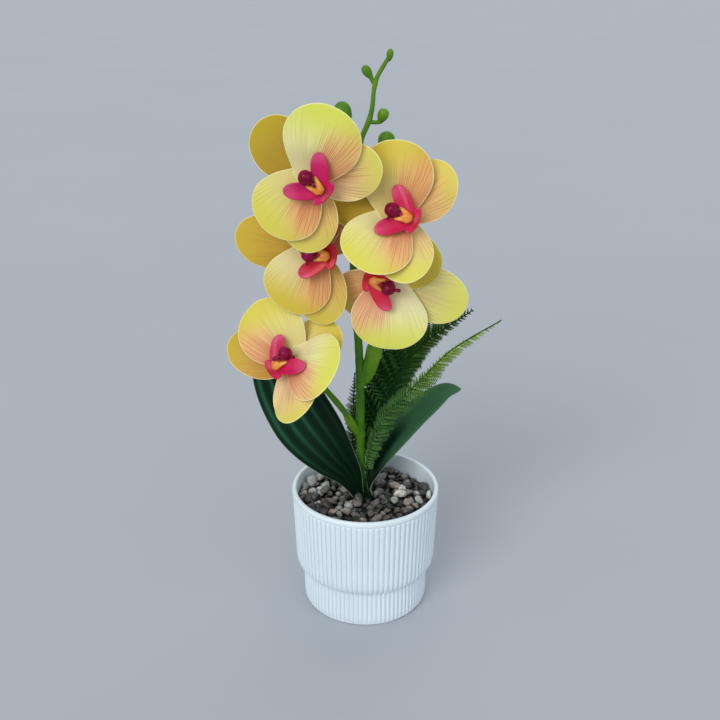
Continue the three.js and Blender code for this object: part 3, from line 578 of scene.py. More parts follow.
def lip_finish():
    """Soft moulded plastic: deep at the root, pink with pale shiny tips whose paleness is partly its own
    colour and partly painted highlight.
    """
    f = Finish("lip_plastic", 220.0, 2400.0, Specular_IOR_Level=0.22, Coat_Weight=0.1, Coat_Roughness=0.15)
    along, red = f.per_point("along", "red")
    base = f.mix(red, (0.57, 0.008, 0.11), (0.64, 0.012, 0.03)).under(
        (along.ease(0.0, 0.45, 0.8, 0.0), (0.40, 0.012, 0.008)),
        # Paler pink patches towards the tips: partly the lip's own colour, partly painted highlight.
        (along.ease(0.6, 1.0) * f.patches.ease(0.3, 0.7, 0.25, 0.7), (0.68, 0.13, 0.25)),
    )
    return f.done(base, f.patches + f.speckle * 0.25, 0.3, 0.0003, (f.patches, 0.3, 0.48))


def callus_finish():
    """Orange plastic, redder at its root and in patches."""
    f = Finish("callus_plastic", 260.0, 2200.0, Coat_Weight=0.15, Coat_Roughness=0.3)
    along = f.per_point("along")
    base = along.steps((0.0, (0.74, 0.13, 0.02)), (0.5, (0.82, 0.32, 0.03)), (1.0, (0.86, 0.50, 0.08)))
    base = base.under((f.patches.ease(0.35, 0.75, 0.0, 0.5), (0.70, 0.16, 0.02)))
    return f.done(base, f.speckle, 0.25, 0.0002, (f.patches, 0.34, 0.5))


def column_finish():
    """Glossy dark maroon with purple patches of painted highlight in it, paler at the root."""
    f = Finish("column_plastic", 420.0, 1500.0, Specular_IOR_Level=0.1, Coat_Weight=0.1, Coat_Roughness=0.06)
    # Painted highlight: some patches turn from maroon to purple.
    base = f.patches.steps(
        (0.3, (0.13, 0.001, 0.018)), (0.55, (0.23, 0.002, 0.035)), (0.75, (0.27, 0.004, 0.10)),
    ).under((f.per_point("along").ease(0.0, 0.6, 0.75, 0.0), (0.50, 0.03, 0.09)))
    return f.done(base, f.patches, 0.3, 0.0004, (f.speckle, 0.2, 0.34))


def stem_finish():
    """Moulded green plastic: mid green, yellower on knots, bracts and young ends."""
    f = Finish("stem_plastic", 110.0, 1800.0, Specular_IOR_Level=0.2)
    streak = f.grain(900.0, 3.0, 0.6, (1, 1, 0.12))
    base = f.per_point("young").steps(
        (0.0, (0.030, 0.15, 0.006)), (0.5, (0.09, 0.25, 0.008)), (1.0, (0.17, 0.33, 0.012)),
    ).under(
        (f.patches.ease(0.3, 0.7, 0.0, 0.4), (0.02, 0.09, 0.008)),
        (streak.ease(0.45, 0.75, 0.0, 0.25), (0.12, 0.26, 0.02)),
    )
    return f.done(base, streak + f.speckle * 0.4, 0.3, 0.0003, (f.patches, 0.34, 0.52))


def leaf_finish():
    """Dark blue-green satin with fine lengthwise lines and a thin pale margin; painted shade makes it near
    black in the grooves between the ribs, towards the foot and towards one edge, and painted light makes the
    ridges and the lit side lighter.
    """
    f = Finish("leaf_satin", 35.0, 1200.0, Specular_IOR_Level=0.07)
    across, ridge, edge, run, lit = f.per_point("across", "ridge", "edge", "run", "lit")
    lines = ((across * 30.0).math("FRACT") - 0.5).math("ABSOLUTE").ease(0.02, 0.22, 1.0, 0.0)
    # The ribs: painted shade makes the grooves near black and painted light makes the ridges lighter.
    base = ridge.steps(
        (0.0, (0.0016, 0.015, 0.0065)), (0.65, (0.004, 0.034, 0.016)), (1.0, (0.024, 0.095, 0.052)),
    ).under(
        (f.patches.ease(0.3, 0.75, 0.0, 0.25), (0.014, 0.07, 0.036)),
        # Painted shade: near black towards the foot.
        (run.ease(0.1, 0.6, 0.95, 0.0), (0.0009, 0.008, 0.0032)),
        # Painted shade: darker towards the right edge.
        (across.ease(0.5, 0.92, 0.0, 0.75), (0.0012, 0.010, 0.004)),
        (lit * 0.9, (0.066, 0.180, 0.086)),
        (lines * 0.35, (0.003, 0.02, 0.01)),
        (edge.ease(0.08, 0.4, 0.6, 0.0), (0.24, 0.32, 0.22)),
    )
    return f.done(base, lines * -1.0 + f.speckle * 0.3, 0.3, 0.0003, (f.patches, 0.36, 0.5))


def fern_finish():
    """Moulded needles: dark at the root, pale at the tip, the whole frond yellower where it is young."""
    f = Finish("fern_plastic", 160.0, 1500.0, Roughness=0.5, Specular_IOR_Level=0.12)
    tip, young = f.per_point("needle", "young")
    old = tip.steps((0.0, (0.006, 0.036, 0.007)), (0.4, (0.036, 0.14, 0.028)), (1.0, (0.27, 0.50, 0.15)))
    fresh = tip.steps((0.0, (0.07, 0.22, 0.006)), (0.45, (0.32, 0.52, 0.02)), (1.0, (0.62, 0.76, 0.10)))
    base = old.under((young, fresh), (f.patches.ease(0.35, 0.7, 0.0, 0.4), (0.008, 0.05, 0.008)))
    return f.done(base, f.speckle, 0.2, 0.0002)


def pebble_finish():
    """Tumbled stones in greys, tans, mauves and off-whites, each with its own tone and grain."""
    f = Finish("pebbles", 330.0, 1900.0, Coat_Weight=0.12, Coat_Roughness=0.3)
    height = f.add("ShaderNodeSeparateXYZ", {0: f.add("ShaderNodeTexCoord", out="Object")}, out=2)
    base = f.per_point("tone").steps(
        (0.0, (0.010, 0.011, 0.013)), (0.16, (0.05, 0.048, 0.047)), (0.29, (0.13, 0.11, 0.095)),
        (0.40, (0.10, 0.115, 0.095)), (0.50, (0.30, 0.265, 0.235)), (0.61, (0.20, 0.175, 0.18)),
        (0.71, (0.40, 0.41, 0.38)), (0.81, (0.46, 0.37, 0.29)), (0.90, (0.74, 0.71, 0.67)),
        interpolation="CONSTANT",
    ).under(
        (f.patches.ease(0.4, 0.65, 0.0, 0.4), (0.08, 0.068, 0.06)),
        (f.speckle.ease(0.55, 0.75, 0.0, 0.35), (0.38, 0.36, 0.32)),
        # Painted shade: the lower a stone lies, the nearer it is to black, as shade in the gaps between the
        # top stones.
        (height.ease((GRAVEL_TOP - 0.4) * MM, (GRAVEL_TOP + 2.6) * MM, 0.94, 0.0), (0.008, 0.008, 0.009)),
    )
    return f.done(base, f.patches + f.speckle * 0.5, 0.5, 0.0005, (f.speckle, 0.3, 0.55))


def gap_shade_finish():
    """Near-black filler under the stones: painted shade seen through the gaps between them."""
    f = Finish("bed_filler", 180.0, 1400.0, Roughness=0.9)
    base = f.patches.steps((0.3, (0.008, 0.007, 0.006)), (0.7, (0.02, 0.018, 0.016)))
    return f.done(base, f.speckle, 0.6, 0.0006)


def pot_finish():
    """White moulded plastic, slightly cool, satin, with faint unevenness and handling marks."""
    f = Finish("pot_plastic", 25.0, 1300.0, Specular_IOR_Level=0.5)
    base = f.mix(f.patches.ease(0.3, 0.7), (0.73, 0.83, 0.88), (0.76, 0.85, 0.90))
    return f.done(base, f.patches + f.speckle * 0.3, 0.08, 0.0003, (f.patches, 0.3, 0.44))


def floor_finish():
    """Plain pale grey paper."""
    f = Finish("floor_paper", 3.0, 700.0, Roughness=0.9, Specular_IOR_Level=0.2)
    base = f.mix(f.patches.ease(0.3, 0.7), (0.445, 0.474, 0.514), (0.455, 0.484, 0.524))
    return f.done(base, f.speckle, 0.05, 0.0003)


# ---------------------------------------------------------------- trees that repeat a shape


class Growth(Tree):
    """A geometry tree that ends in a plain mesh with one material."""

    def __init__(self, name, **inputs):
        tree = bpy.data.node_groups.new(name, "GeometryNodeTree")
        kinds = {int: "Int", float: "Float"}
        rows = [(label, kinds[type(value)], value) for label, value in inputs.items()]
        rows = [("Geometry", "Geometry", None), *rows, ("Material", "Material", None)]
        super().__init__(tree, rows, [("Geometry", "Geometry")])

    def put(self, points, instance, **values):
        return self.add("GeometryNodeInstanceOnPoints", {"Points": points, "Instance": instance, **values})

    def store(self, geometry, name, value, domain):
        values = {"Geometry": geometry, "Name": name, "Value": value}
        return self.add("GeometryNodeStoreNamedAttribute", values, data_type="FLOAT", domain=domain)

    def scaled(self, vector, factor):
        return self.add("ShaderNodeVectorMath", {0: vector, "Scale": factor}, operation="SCALE")

    def plain(self, instances):
        return self.add("GeometryNodeRealizeInstances", {0: instances})

    def done(self, plain, smooth=True):
        plain = self.add("GeometryNodeSetShadeSmooth", {"Geometry": plain, "Shade Smooth": smooth})
        plain = self.add("GeometryNodeSetMaterial", {"Geometry": plain, "Material": self["Material"]})
        self.set(self.end, {0: plain})
        return self.tree


def grown(name, mesh, tree, slot, node, **values):
    """The plain mesh that a tree makes from a starting mesh, as a piece of its own."""
    obj = new_object(name, mesh)
    modifier = obj.modifiers.new("grow", "NODES")
    modifier.node_group = tree
    for item in tree.interface.items_tree:
        if item.in_out == "INPUT" and item.name in values:
            modifier[item.identifier] = values[item.name]
    graph = bpy.context.evaluated_depsgraph_get()
    made = bpy.data.meshes.new_from_object(
        obj.evaluated_get(graph), preserve_all_data_layers=True, depsgraph=graph,
    )
    obj.modifiers.remove(modifier)
    obj.data = made
    made.name = name
    settle(obj, node)


def ring_of_copies():
    """Copies of the mesh, turned evenly about the upright axis."""
    g = Growth("ring_of_copies", Copies=12)
    spots = g.add("GeometryNodeMeshLine", {"Count": g["Copies"], "Offset": (0, 0, 0)})
    angle = g.add("GeometryNodeInputIndex") * (2 * math.pi) / g["Copies"]
    turn = g.add("ShaderNodeCombineXYZ", {2: angle})
    return g.done(g.plain(g.put(spots, g["Geometry"], Rotation=turn)))


def scattered_stones():
    """Rounded stones strewn over the mesh, each with its own size, turn, shape and tone."""
    g = Growth("scattered_stones", Spacing=0.003, Size=0.003, Seed=1)
    spots = g.add(
        "GeometryNodeDistributePointsOnFaces",
        {"Mesh": g["Geometry"], "Distance Min": g["Spacing"], "Density Max": 400000.0, "Seed": g["Seed"]},
        distribute_method="POISSON",
    )
    stone = g.add("GeometryNodeMeshIcoSphere", {"Radius": 1.0, "Subdivisions": 2})

    def chance(low, high, seed):
        """A random number, or three, between low and high."""
        first, kind = (0, "FLOAT_VECTOR") if isinstance(low, tuple) else (2, "FLOAT")
        wire = g.add("FunctionNodeRandomValue", out=first // 2, data_type=kind)
        g.set(wire.socket.node, {first: low, first + 1: high, "Seed": seed})
        return wire

    turn = chance((-0.6, -0.6, 0), (0.6, 0.6, 6.28), 5)
    shape = chance((0.8, 0.62, 0.5), (1.25, 0.95, 0.72), 8)
    scale = g.scaled(shape, g["Size"] * chance(0.62, 1.15, 13))
    strewn = g.put(spots, stone, Rotation=turn, Scale=scale)
    plain = g.plain(g.store(strewn, "tone", chance(0.0, 1.0, 21), "INSTANCE"))
    place = g.add("GeometryNodeInputPosition")
    wave = g.add("ShaderNodeTexNoise", {"Vector": place, "Scale": 330.0, "Detail": 1.5}, out="Color")
    push = g.add("ShaderNodeVectorMath", {0: wave, 1: (0.5, 0.5, 0.5)}, operation="SUBTRACT")
    lumps = g.scaled(push, 0.0026)
    return g.done(g.add("GeometryNodeSetPosition", {"Geometry": plain, "Offset": lumps}), False)


def feathered_frond():
    """A tuft of needles on every point, aimed along "aim", facing "face", "reach" long."""
    g = Growth("feathered_frond", Pairs=6, Needle=0.34, Thickness=0.03)
    step = g.add("ShaderNodeMath", {0: 0.92, 1: g["Pairs"]}, operation="DIVIDE")
    offset = g.add("ShaderNodeCombineXYZ", {0: step})
    row = {"Count": g["Pairs"], "Start Location": (0.08, 0, 0), "Offset": offset}
    spots = g.add("GeometryNodeMeshLine", row)

    def cone(top, bottom, depth):
        values = {"Vertices": 4, "Radius Top": top, "Radius Bottom": bottom, "Depth": depth}
        return g.add("GeometryNodeMeshCone", values, out="Mesh")

    def aligned(name, rotation, **axes):
        way = g.add("GeometryNodeInputNamedAttribute", {"Name": name}, data_type="FLOAT_VECTOR")
        return g.add("FunctionNodeAlignRotationToVector", {"Vector": way, **rotation}, **axes)

    height = g.add("ShaderNodeSeparateXYZ", {0: g.add("GeometryNodeInputPosition")}, out=2)
    needle = g.store(cone(0.0, g["Thickness"], g["Needle"]), "needle", height / g["Needle"], "POINT")
    share = g.add("GeometryNodeInputIndex") / g["Pairs"]
    taper = share.math("MULTIPLY_ADD", -0.55, 1.05)
    tuft = g.tree.nodes.new("GeometryNodeJoinGeometry")
    # The needle points along Z: two rows lie out to the sides and one stands up from the leaflet, all
    # of them swept forward.
    for tilt, sweep in ((0.85, 1.14), (-0.85, 1.14), (0.0, 0.75)):
        g.set(tuft, {0: g.put(spots, needle, Rotation=(tilt, sweep, 0.0), Scale=taper)})
    rib = {"Geometry": cone(0.008, 0.028, 1.0), "Rotation": (0, math.pi / 2, 0)}
    g.set(tuft, {0: g.add("GeometryNodeTransform", rib)})
    aimed = aligned("aim", {}, axis="X")
    faced = aligned("face", {"Rotation": aimed}, axis="Z", pivot_axis="X")
    reach = g.add("GeometryNodeInputNamedAttribute", {"Name": "reach"}, data_type="FLOAT")
    leaflets = g.put(g["Geometry"], g.plain(Wire(g, tuft.outputs[0])), Rotation=faced, Scale=reach)
    return g.done(g.plain(leaflets))


RING_OF_COPIES = ring_of_copies()
SCATTERED_STONES = scattered_stones()
FEATHERED_FROND = feathered_frond()


# ---------------------------------------------------------------- pot

# Heights where a rib's outline is given, from the foot to the plain band under the rim.
RIB_STOPS = [1.2, 2, 6, 12, 18, 20.7, 21.4, 22.1, 23, 24.2, 25.6, 27.8, 34, 44, 54, 62, 64.6, 65.5]


def pot_outside(z):
    """Outside radius of the ribs' crests at a height."""
    crease, tier, foot = POT["step_z"], POT["tier"], POT["foot"]
    crest = [
        (0, foot - 0.9), (0.8, foot - 0.3), (2, foot), (crease - 0.7, foot), (crease, foot + 0.35),
        (crease + 0.7, foot + 1.35), (crease + 1.6, tier - 1.6), (crease + 2.8, tier - 0.85),
        (crease + 4.2, tier - 0.3), (crease + 6.4, tier + 0.02), (POT["height"], POT["rim"]),
    ]
    return np.interp(z, *zip(*crest))


def make_pot(material):
    wall, depth, rim, foot, floor = (POT[k] for k in ("wall", "rib_depth", "rim", "foot", "floor"))
    top, lip, inner = POT["height"], POT["height"] - POT["lip"], rim - wall
    profile = [(0, 0.6), (30.5, 0.6), (31.2, 0.0), (foot - 1.6, 0.0)]
    profile += [(pot_outside(z) - depth, z) for z in (0.5, *RIB_STOPS)]
    profile += [
        (rim - 0.25, lip + 0.1), (rim - 0.02, lip + 0.5), (rim, top - 1.1), (rim - 0.3, top - 0.35),
        (rim - 0.95, top), (inner + 0.75, top), (inner + 0.2, top - 0.3), (inner, top - 1.0),
        (inner - 0.12, 62), (POT["tier"] - wall, POT["tier_z"] + 1), (foot - wall, POT["step_z"] + 1),
        (foot - wall, floor + 0.6), (foot - wall - 0.6, floor), (0, floor),
    ]
    body = Shape()
    body.add(*lathe(profile, 2 * POT["ribs"]))
    piece("pot_body", body, material, "pot")

    # One rib down the outside, a soft wave as wide as the pitch, following the two tiers.
    half, columns, buried = 0.495 * 2 * math.pi * rim / POT["ribs"], 10, 0.6
    xyz = []
    for i, z in enumerate(RIB_STOPS):
        groove, swell = pot_outside(z) - depth, depth if i else 0.4 * depth
        for k in range(columns + 1):
            u = 1 - 2 * k / columns
            out = groove + swell * (0.5 + 0.5 * math.cos(math.pi * u))
            xyz.append((out, half * pot_outside(z) / rim * u, z))
        xyz.append((groove - buried, 0.0, z))
    ring = range(columns + 2)
    ends = [tuple(ring), tuple(len(xyz) - len(ring) + k for k in ring)]
    rib = Shape()
    rib.add(xyz, side_faces(len(RIB_STOPS), len(ring)) + ends)
    mesh = rib.mesh("one_rib")
    grown("pot_ribs", mesh, RING_OF_COPIES, "pot", "pot", Copies=POT["ribs"], Material=material)


# ---------------------------------------------------------------- gravel


def make_gravel(material, filler):
    inner = POT["rim"] - POT["wall"] - 0.7
    low = CORE_TOP + 0.2
    # A near-black disc under the stones: painted shade seen through the gaps.
    bed = Shape()
    bed.add(*lathe([(0, low), (inner, low), (inner, GRAVEL_TOP - 1.6), (0, GRAVEL_TOP - 1.2)], 96))
    piece("gravel_bed", bed, filler, "gravel")
    # Two sheets of square cells that the stones are strewn over, higher towards the left wall, with
    # gaps round the stems.
    layers = Shape()
    cell, gap, tilt = 1.6, 4.2, 2.2
    for z, reach in ((GRAVEL_TOP - 0.6, inner - 1.3), (GRAVEL_TOP + 2.0, inner - 1.9)):
        faces, known = [], {}
        span = int(reach / cell) + 1
        for i, j in ((i, j) for i in range(-span, span) for j in range(-span, span)):
            x, y = (i + 0.5) * cell, (j + 0.5) * cell
            nearest = min(math.hypot(x - fx, y - fy) for fx, fy in FEET.values())
            if math.hypot(x, y) <= reach and nearest >= gap:
                corners = ((i, j), (i + 1, j), (i + 1, j + 1), (i, j + 1))
                faces.append(tuple(known.setdefault(c, len(known)) for c in corners))
        layers.add([(i * cell, j * cell, z + tilt * max(0.0, -i * cell / reach)) for i, j in known], faces)
    grown(
        "gravel_stones", layers.mesh("layers"), SCATTERED_STONES, "gravel", "gravel",
        Spacing=3.9 * MM, Size=3.05 * MM, Seed=4, Material=material,
    )


# ---------------------------------------------------------------- blooms

# Shares of a lobe's outline, from its middle to its edge, where its sheet has a ring of points.
RING_SHARES = [0.0, 0.13, 0.26, 0.38, 0.5, 0.61, 0.71, 0.8, 0.87, 0.925, 0.96, 0.983, 1.0]
SHEET = 0.5  # thickness of a petal or sepal
SLOPE_STEP = 0.15  # over which a sheet's slope is measured
LIP_ROOT = (0.0, -8.8, 5.2)  # where the lip's lobes meet, on the bloom's own axes


def bloom_place(b):
    """The bloom's own axes as rows: to its right, towards its upper sepal, and out at the viewer."""
    y, t, r = (math.radians(b[k]) for k in ("turn", "tip", "lean"))
    out = np.array([math.sin(y) * math.cos(t), -math.cos(y) * math.cos(t), math.sin(t)])
    level = np.array([math.cos(y), math.sin(y), 0.0])
    dorsal = math.cos(r) * np.cross(out, level) - math.sin(r) * level
    return np.stack([np.cross(dorsal, out), dorsal, out]), np.array(b["centre"], float)


def make_lobe(kind, length, width, entry):
    """One petal or sepal: an entry is its angle and lift, then its shares of length and width if not 1."""
    angle, lift, long_share, wide_share = (*entry, 1.0, 1.0)[:4]
    return dict(
        kind, length=kind["length"] * length * long_share, width=kind["width"] * width * wide_share,
        angle=math.radians(angle), lift=math.radians(lift), turn=math.radians(kind["curl"]),
    )


def turned(lobe, a, b):
    """Right and up in the bloom as out and across in a lobe, or the other way round."""
    sin_a, cos_a = math.sin(lobe["angle"]), math.cos(lobe["angle"])
    return -a * sin_a + b * cos_a, a * cos_a + b * sin_a


def lobe_parts(lobe, x, y):
    """At a place: the distance across a lobe, the sine of its slope, and the share of its length."""
    out, wide = turned(lobe, x, y)
    s = math.sin(lobe["lift"]) - np.maximum(out, 0) * lobe["turn"] / lobe["length"]
    t = (lobe["lift"] - np.arcsin(np.clip(s, -1, 1))) / lobe["turn"]
    return wide, s, np.clip(t, 0, 1.05)


def lobe_height(lobe, x, y):
    wide, s, _ = lobe_parts(lobe, x, y)
    forward = lobe["length"] * (np.sqrt(np.maximum(0, 1 - s * s)) - math.cos(lobe["lift"])) / lobe["turn"]
    share = (2 * wide / lobe["width"]) ** 2
    return forward - lobe["camber"] * lobe["width"] / 4 * share / (1 + share**6) ** (1 / 6)


def sheet_height(lobes, x, y):
    """Flat round the peg, then rising with each lobe near its own direction."""
    angle = np.arctan2(-x, y)
    total, weight = 0.0, 0.0
    for lobe in lobes:
        off = np.abs((angle - lobe["angle"] + math.pi) % (2 * math.pi) - math.pi)
        share = np.exp(-((off / 0.72) ** 2)) + 1e-9
        total = total + share * lobe_height(lobe, x, y)
        weight = weight + share
    return (1 - np.exp(-(x * x + y * y) / 81.0)) * total / weight


def lobe_outline(lobe, wobble, phase):
    """The lobe's edge as (out, across) pairs, once round, a little uneven."""
    w, length, lift = lobe["widest"], lobe["length"], lobe["lift"]
    rest = w + (1 - w) * np.sin(np.linspace(0, math.pi / 2, 34))
    t = np.concatenate([np.linspace(0, w, 26, endpoint=False), rest])
    out = length * (math.sin(lift) - np.sin(lift - lobe["turn"] * t)) / lobe["turn"]
    rising = lobe["base"] + (1 - lobe["base"]) * np.sin(math.pi / 2 * np.minimum(t / w, 1))
    closing = np.sqrt(np.maximum(0, 1 - (np.maximum(t - w, 0) / (1 - w)) ** 2))
    half = 0.5 * lobe["width"] * np.where(t < w, rising, closing)
    foot = np.linspace(-math.pi / 2, math.pi / 2, 13)[1:-1]
    arc = np.stack([-0.5 * half[0] * np.cos(foot), half[0] * np.sin(foot)], axis=1)
    right = np.stack([out, half], axis=1)
    edge = np.vstack([right, (right * (1, -1))[:-1][::-1], arc])
    middle = np.array([0.5 * length, 0.0])
    turn = np.arctan2(edge[:, 1], edge[:, 0] - middle[0])
    waves = np.sin(3 * turn + phase) + 0.6 * np.sin(5 * turn + 2.1 * phase) + 0.35 * np.sin(9 * turn + phase)
    return middle + (edge - middle) * (1 + wobble * waves)[:, None], middle


def lobe_shell(lobe, height, thickness, wave, phase, bead=0.1):
    """One petal or sepal as a closed sheet in the bloom's own frame, with values for its print."""
    edge, middle = lobe_outline(lobe, 0.006, phase)
    reach = np.linalg.norm(edge - middle, axis=1)
    rings, normals, gaps = [], [], []
    for share in RING_SHARES:
        x, y = turned(lobe, *(middle + share * (edge - middle)).T)

        def surface(px, py):
            o, q = turned(lobe, px, py)
            ripple = np.sin(0.21 * o + 0.13 * q + phase) * np.sin(0.17 * q - 0.08 * o + 1.7 * phase)
            frill = np.sin(4 * np.arctan2(q, o - middle[0]) + phase) * share**5
            return height(px, py) + wave * (0.6 * ripple + 0.5 * frill) * smoothstep(5, 16, np.hypot(px, py))

        e = SLOPE_STEP
        gx = (surface(x + e, y) - surface(x - e, y)) / (2 * e)
        gy = (surface(x, y + e) - surface(x, y - e)) / (2 * e)
        rings.append(np.stack([x, y, surface(x, y)], axis=1))
        normals.append(each_unit(np.stack([-gx, -gy, np.ones_like(gx)], axis=1)))
        gaps.append((1 - share) * reach if share else [lobe["width"] / 2])
    xyz, faces = ringed_sheet(rings, normals, [thickness] * len(rings), bead)
    gaps = np.concatenate(gaps)
    wide, _, t = lobe_parts(lobe, xyz[:, 0], xyz[:, 1])
    span = 0.5 * lobe["width"] * (t + 0.07) ** 0.62
    rims = np.concatenate([gaps, np.zeros(len(edge)), gaps])
    return xyz, faces, dict(edge=rims, along=t, fan=wide / span, span=span)


def petal_print(values, xyz, lobe, tint):
    """Peach on the half of the petal that is nearer the lip, cream near the heart on the other half."""
    gold, flush, pale = tint
    t = values["along"]
    r = np.hypot(xyz[:, 0], xyz[:, 1])
    low = -math.copysign(1, lobe["angle"]) * values["fan"]
    reach = 0.74 + 0.14 * np.clip(low, -1, 1)
    blush = smoothstep(-0.25, 0.4, low) * smoothstep(2, 8, r)
    blush = blush * (1 - smoothstep(reach - 0.34, reach + 0.12, t))
    cream = (1 - smoothstep(0.2, 0.9, t)) * (1 - 0.45 * smoothstep(0.1, 0.8, low))
    tone = gold + 0.14 * smoothstep(0.2, 0.9, low) * smoothstep(0.3, 0.8, t)
    return dict(blush=flush * blush, cream=pale * cream, tone=tone)


def sepal_print(values, _xyz, _lobe, tint):
    """Blush and cream that fade out along the sepal."""
    gold, flush, pale = tint
    t = values["along"]
    blush = (1 - smoothstep(0.55, 1.05, t)) * (1 - 0.3 * smoothstep(0.2, 0.9, values["fan"]))
    cream, tone = 1 - smoothstep(0.3, 1.0, t), 1 - 0.12 * smoothstep(0.5, 1.0, t)
    return dict(blush=flush * blush, cream=pale * cream, tone=gold * tone)


def make_bloom(b, print_finish, lip_plastic, callus_plastic, column_plastic):
    axes, centre = bloom_place(b)
    dice = random.Random(b["name"])
    petals = [make_lobe(PETAL, b["petal"], b["petal"], e) for e in b["petals"]]
    sepals = [make_lobe(SEPAL, b["sepal_length"], b["sepal_width"], e) for e in b["sepals"]]

    def place(local):
        return centre + local @ axes

    def petal_face(x, y):
        return sheet_height(petals, x, y)

    def sepal_face(x, y):
        s, p = sheet_height(sepals, x, y), petal_face(x, y)
        soft = np.maximum(1.0 - np.abs(s - p), 0.0)
        return np.minimum(s, p) - 0.25 * soft * soft - SEPALS_BEHIND

    def sheet(lobes, face, steps, wave, printed, tints):
        """Lobes that lie over each other by small steps forward."""
        shape = Shape(place)
        for lobe, step, tint in zip(lobes, steps, tints):
            phase = dice.uniform(0, 6.28)
            xyz, faces, values = lobe_shell(lobe, lambda x, y: face(x, y) + step, SHEET, wave, phase)
            shape.add(xyz, faces, **values, **printed(values, xyz, lobe, tint), pink=b["pink"])
        return shape

    sepal_sheet = sheet(sepals, sepal_face, (0.0, -0.7, -0.35), 0.35, sepal_print, b["sepal_tints"])
    petal_sheet = sheet(petals, petal_face, (0.0, 0.4), 0.3, petal_print, b["petal_tints"])
    for name, shape, finish, slot, node in (
        ("sepal_sheet", sepal_sheet, print_finish, "sepal", "sepals"),
        ("petal_sheet", petal_sheet, print_finish, "petal", "petals"),
        ("lip_moulding", lip_shape(b, place), lip_plastic, "lip", "lip"),
        ("callus_moulding", callus_shape(place), callus_plastic, "callus", "callus"),
        ("column_moulding", column_shape(b, place), column_plastic, "column", "column"),
    ):
        piece(b["name"] + "_" + name, shape, finish, b["name"] + "_" + node)


def lip_shape(b, place):
    """Two cupped side lobes and a boat-shaped front lobe on a short neck."""
    shape = Shape(place)
    for side in (1, -1):
        kind = dict(length=17.2, width=7.0, base=0.55, widest=0.6, curl=8, camber=-0.7)
        lobe = make_lobe(kind, 1.0, 1.0, (side * 41, 12))

        def cupped(x, y):
            wide, _, t = lobe_parts(lobe, x, y)
            return lobe_height(lobe, x, y) + 0.1 * side * wide * smoothstep(0.2, 0.8, t)

        xyz, faces, values = lobe_shell(lobe, cupped, 0.9, 0.15, side + 2.0, 0.3)
        shape.add(xyz + LIP_ROOT, faces, along=0.1 + 0.9 * values["along"], red=b["red"])
    # The front lobe: an oval whose ends and lower edge turn forward.
    around = np.linspace(0, 2 * math.pi, 48, endpoint=False)
    rings, normals = [], []
    for share in (0.0, 0.2, 0.4, 0.6, 0.78, 0.9, 1.0):
        x, y = 5.9 * share * np.cos(around), -0.8 + 2.5 * share * np.sin(around)
        low = np.maximum(0, -y - 0.8)
        rings.append(np.stack([x, y, 0.05 * x**2 + 0.09 * low**2 + 0.25], axis=1) + LIP_ROOT)
        normals.append(each_unit(np.stack([-0.1 * x, 0.18 * low, np.ones_like(x)], axis=1)))
    xyz, faces = ringed_sheet(rings, normals, [1.0, 1.0, 1.0, 1.0, 0.9, 0.85, 0.75], 0.28)
    shape.add(xyz, faces, along=np.clip(np.abs(xyz[:, 0]) / 7.5, 0.15, 0.8), red=b["red"])
    line = smooth_line([(0, 0, 2.0), (0, -3.0, 2.4), (0, -6.2, 3.6), (0, -8.6, 4.6)], 12)
    shape.add_run(tube(line, np.linspace(2.3, 1.7, 12), 14, 0.45, (0, 0, 1)), along=0.05, red=b["red"])
    return shape


def callus_shape(place):
    """The raised middle of the lip: a broad uneven mound with two stubby horns beside the column's stalk."""
    shape = Shape(place)
    xyz, faces, run = egg((0, -6.1, 7.2), (0, 1, 0.1), 2.6, 3.1, 24, 14)
    xyz[:, 2] = 7.2 + (xyz[:, 2] - 7.2) * 0.75
    for i, p in enumerate(xyz):
        xyz[i] = p + unit(p - (0, -6.0, 6.0)) * 0.55 * noise.noise(Vector(p * 0.7))
    shape.add(xyz, faces, along=0.3 + 0.3 * run)
    for side in (1, -1):
        knots = [(0.9, -7.2, 7.3), (1.6, -5.2, 7.8), (2.1, -3.6, 7.9), (2.5, -2.3, 7.6)]
        line = smooth_line(knots, 14) * (side, 1, 1)
        radii = 1.35 - 0.6 * np.linspace(0, 1, 14) ** 1.5
        shape.add_run(tube(line, radii, 12, 0.85, (0, 0, 1)), along=(0.3, 0.7))
    return shape


def column_shape(b, place):
    """A slightly uneven ball on a slim stalk that leans over the centre, with a stub on its rim."""
    shape = Shape(place)
    ball, radius = np.array([0, 0.7, 9.7]), 3.45
    xyz, faces, _ = egg(ball, (0, 0.4, 1), radius, radius, 28, 18)
    for i, p in enumerate(xyz):
        xyz[i] = p + unit(p - ball) * noise.noise(Vector(p * 0.4) + Vector((b["lean"], 0, 0))) * 0.3
    shape.add(xyz, faces, along=1.0)
    line = smooth_line([(0, -4.8, 8.6), (0, -3.6, 8.9), (0, -1.8, 9.2), (0, 0.0, 9.6)], 14)
    shape.add_run(tube(line, 0.6 + 1.4 * np.linspace(0, 1, 14) ** 2.5, 14), along=(0, 1))
    angle, size = b["nub"]
    a = math.radians(angle)
    way = np.array([-math.sin(a), math.cos(a), 0.1])
    line = [ball + way * s for s in np.linspace(2.2, radius + 0.7 + 1.2 * size, 8)]
    radii = (0.45 + 0.45 * size) * np.array([1, 0.92, 0.88, 0.85, 0.85, 0.88, 0.95, 0.9])
    shape.add_run(tube(line, radii, 10), along=0.55)
    return shape


# ---------------------------------------------------------------- flower stem


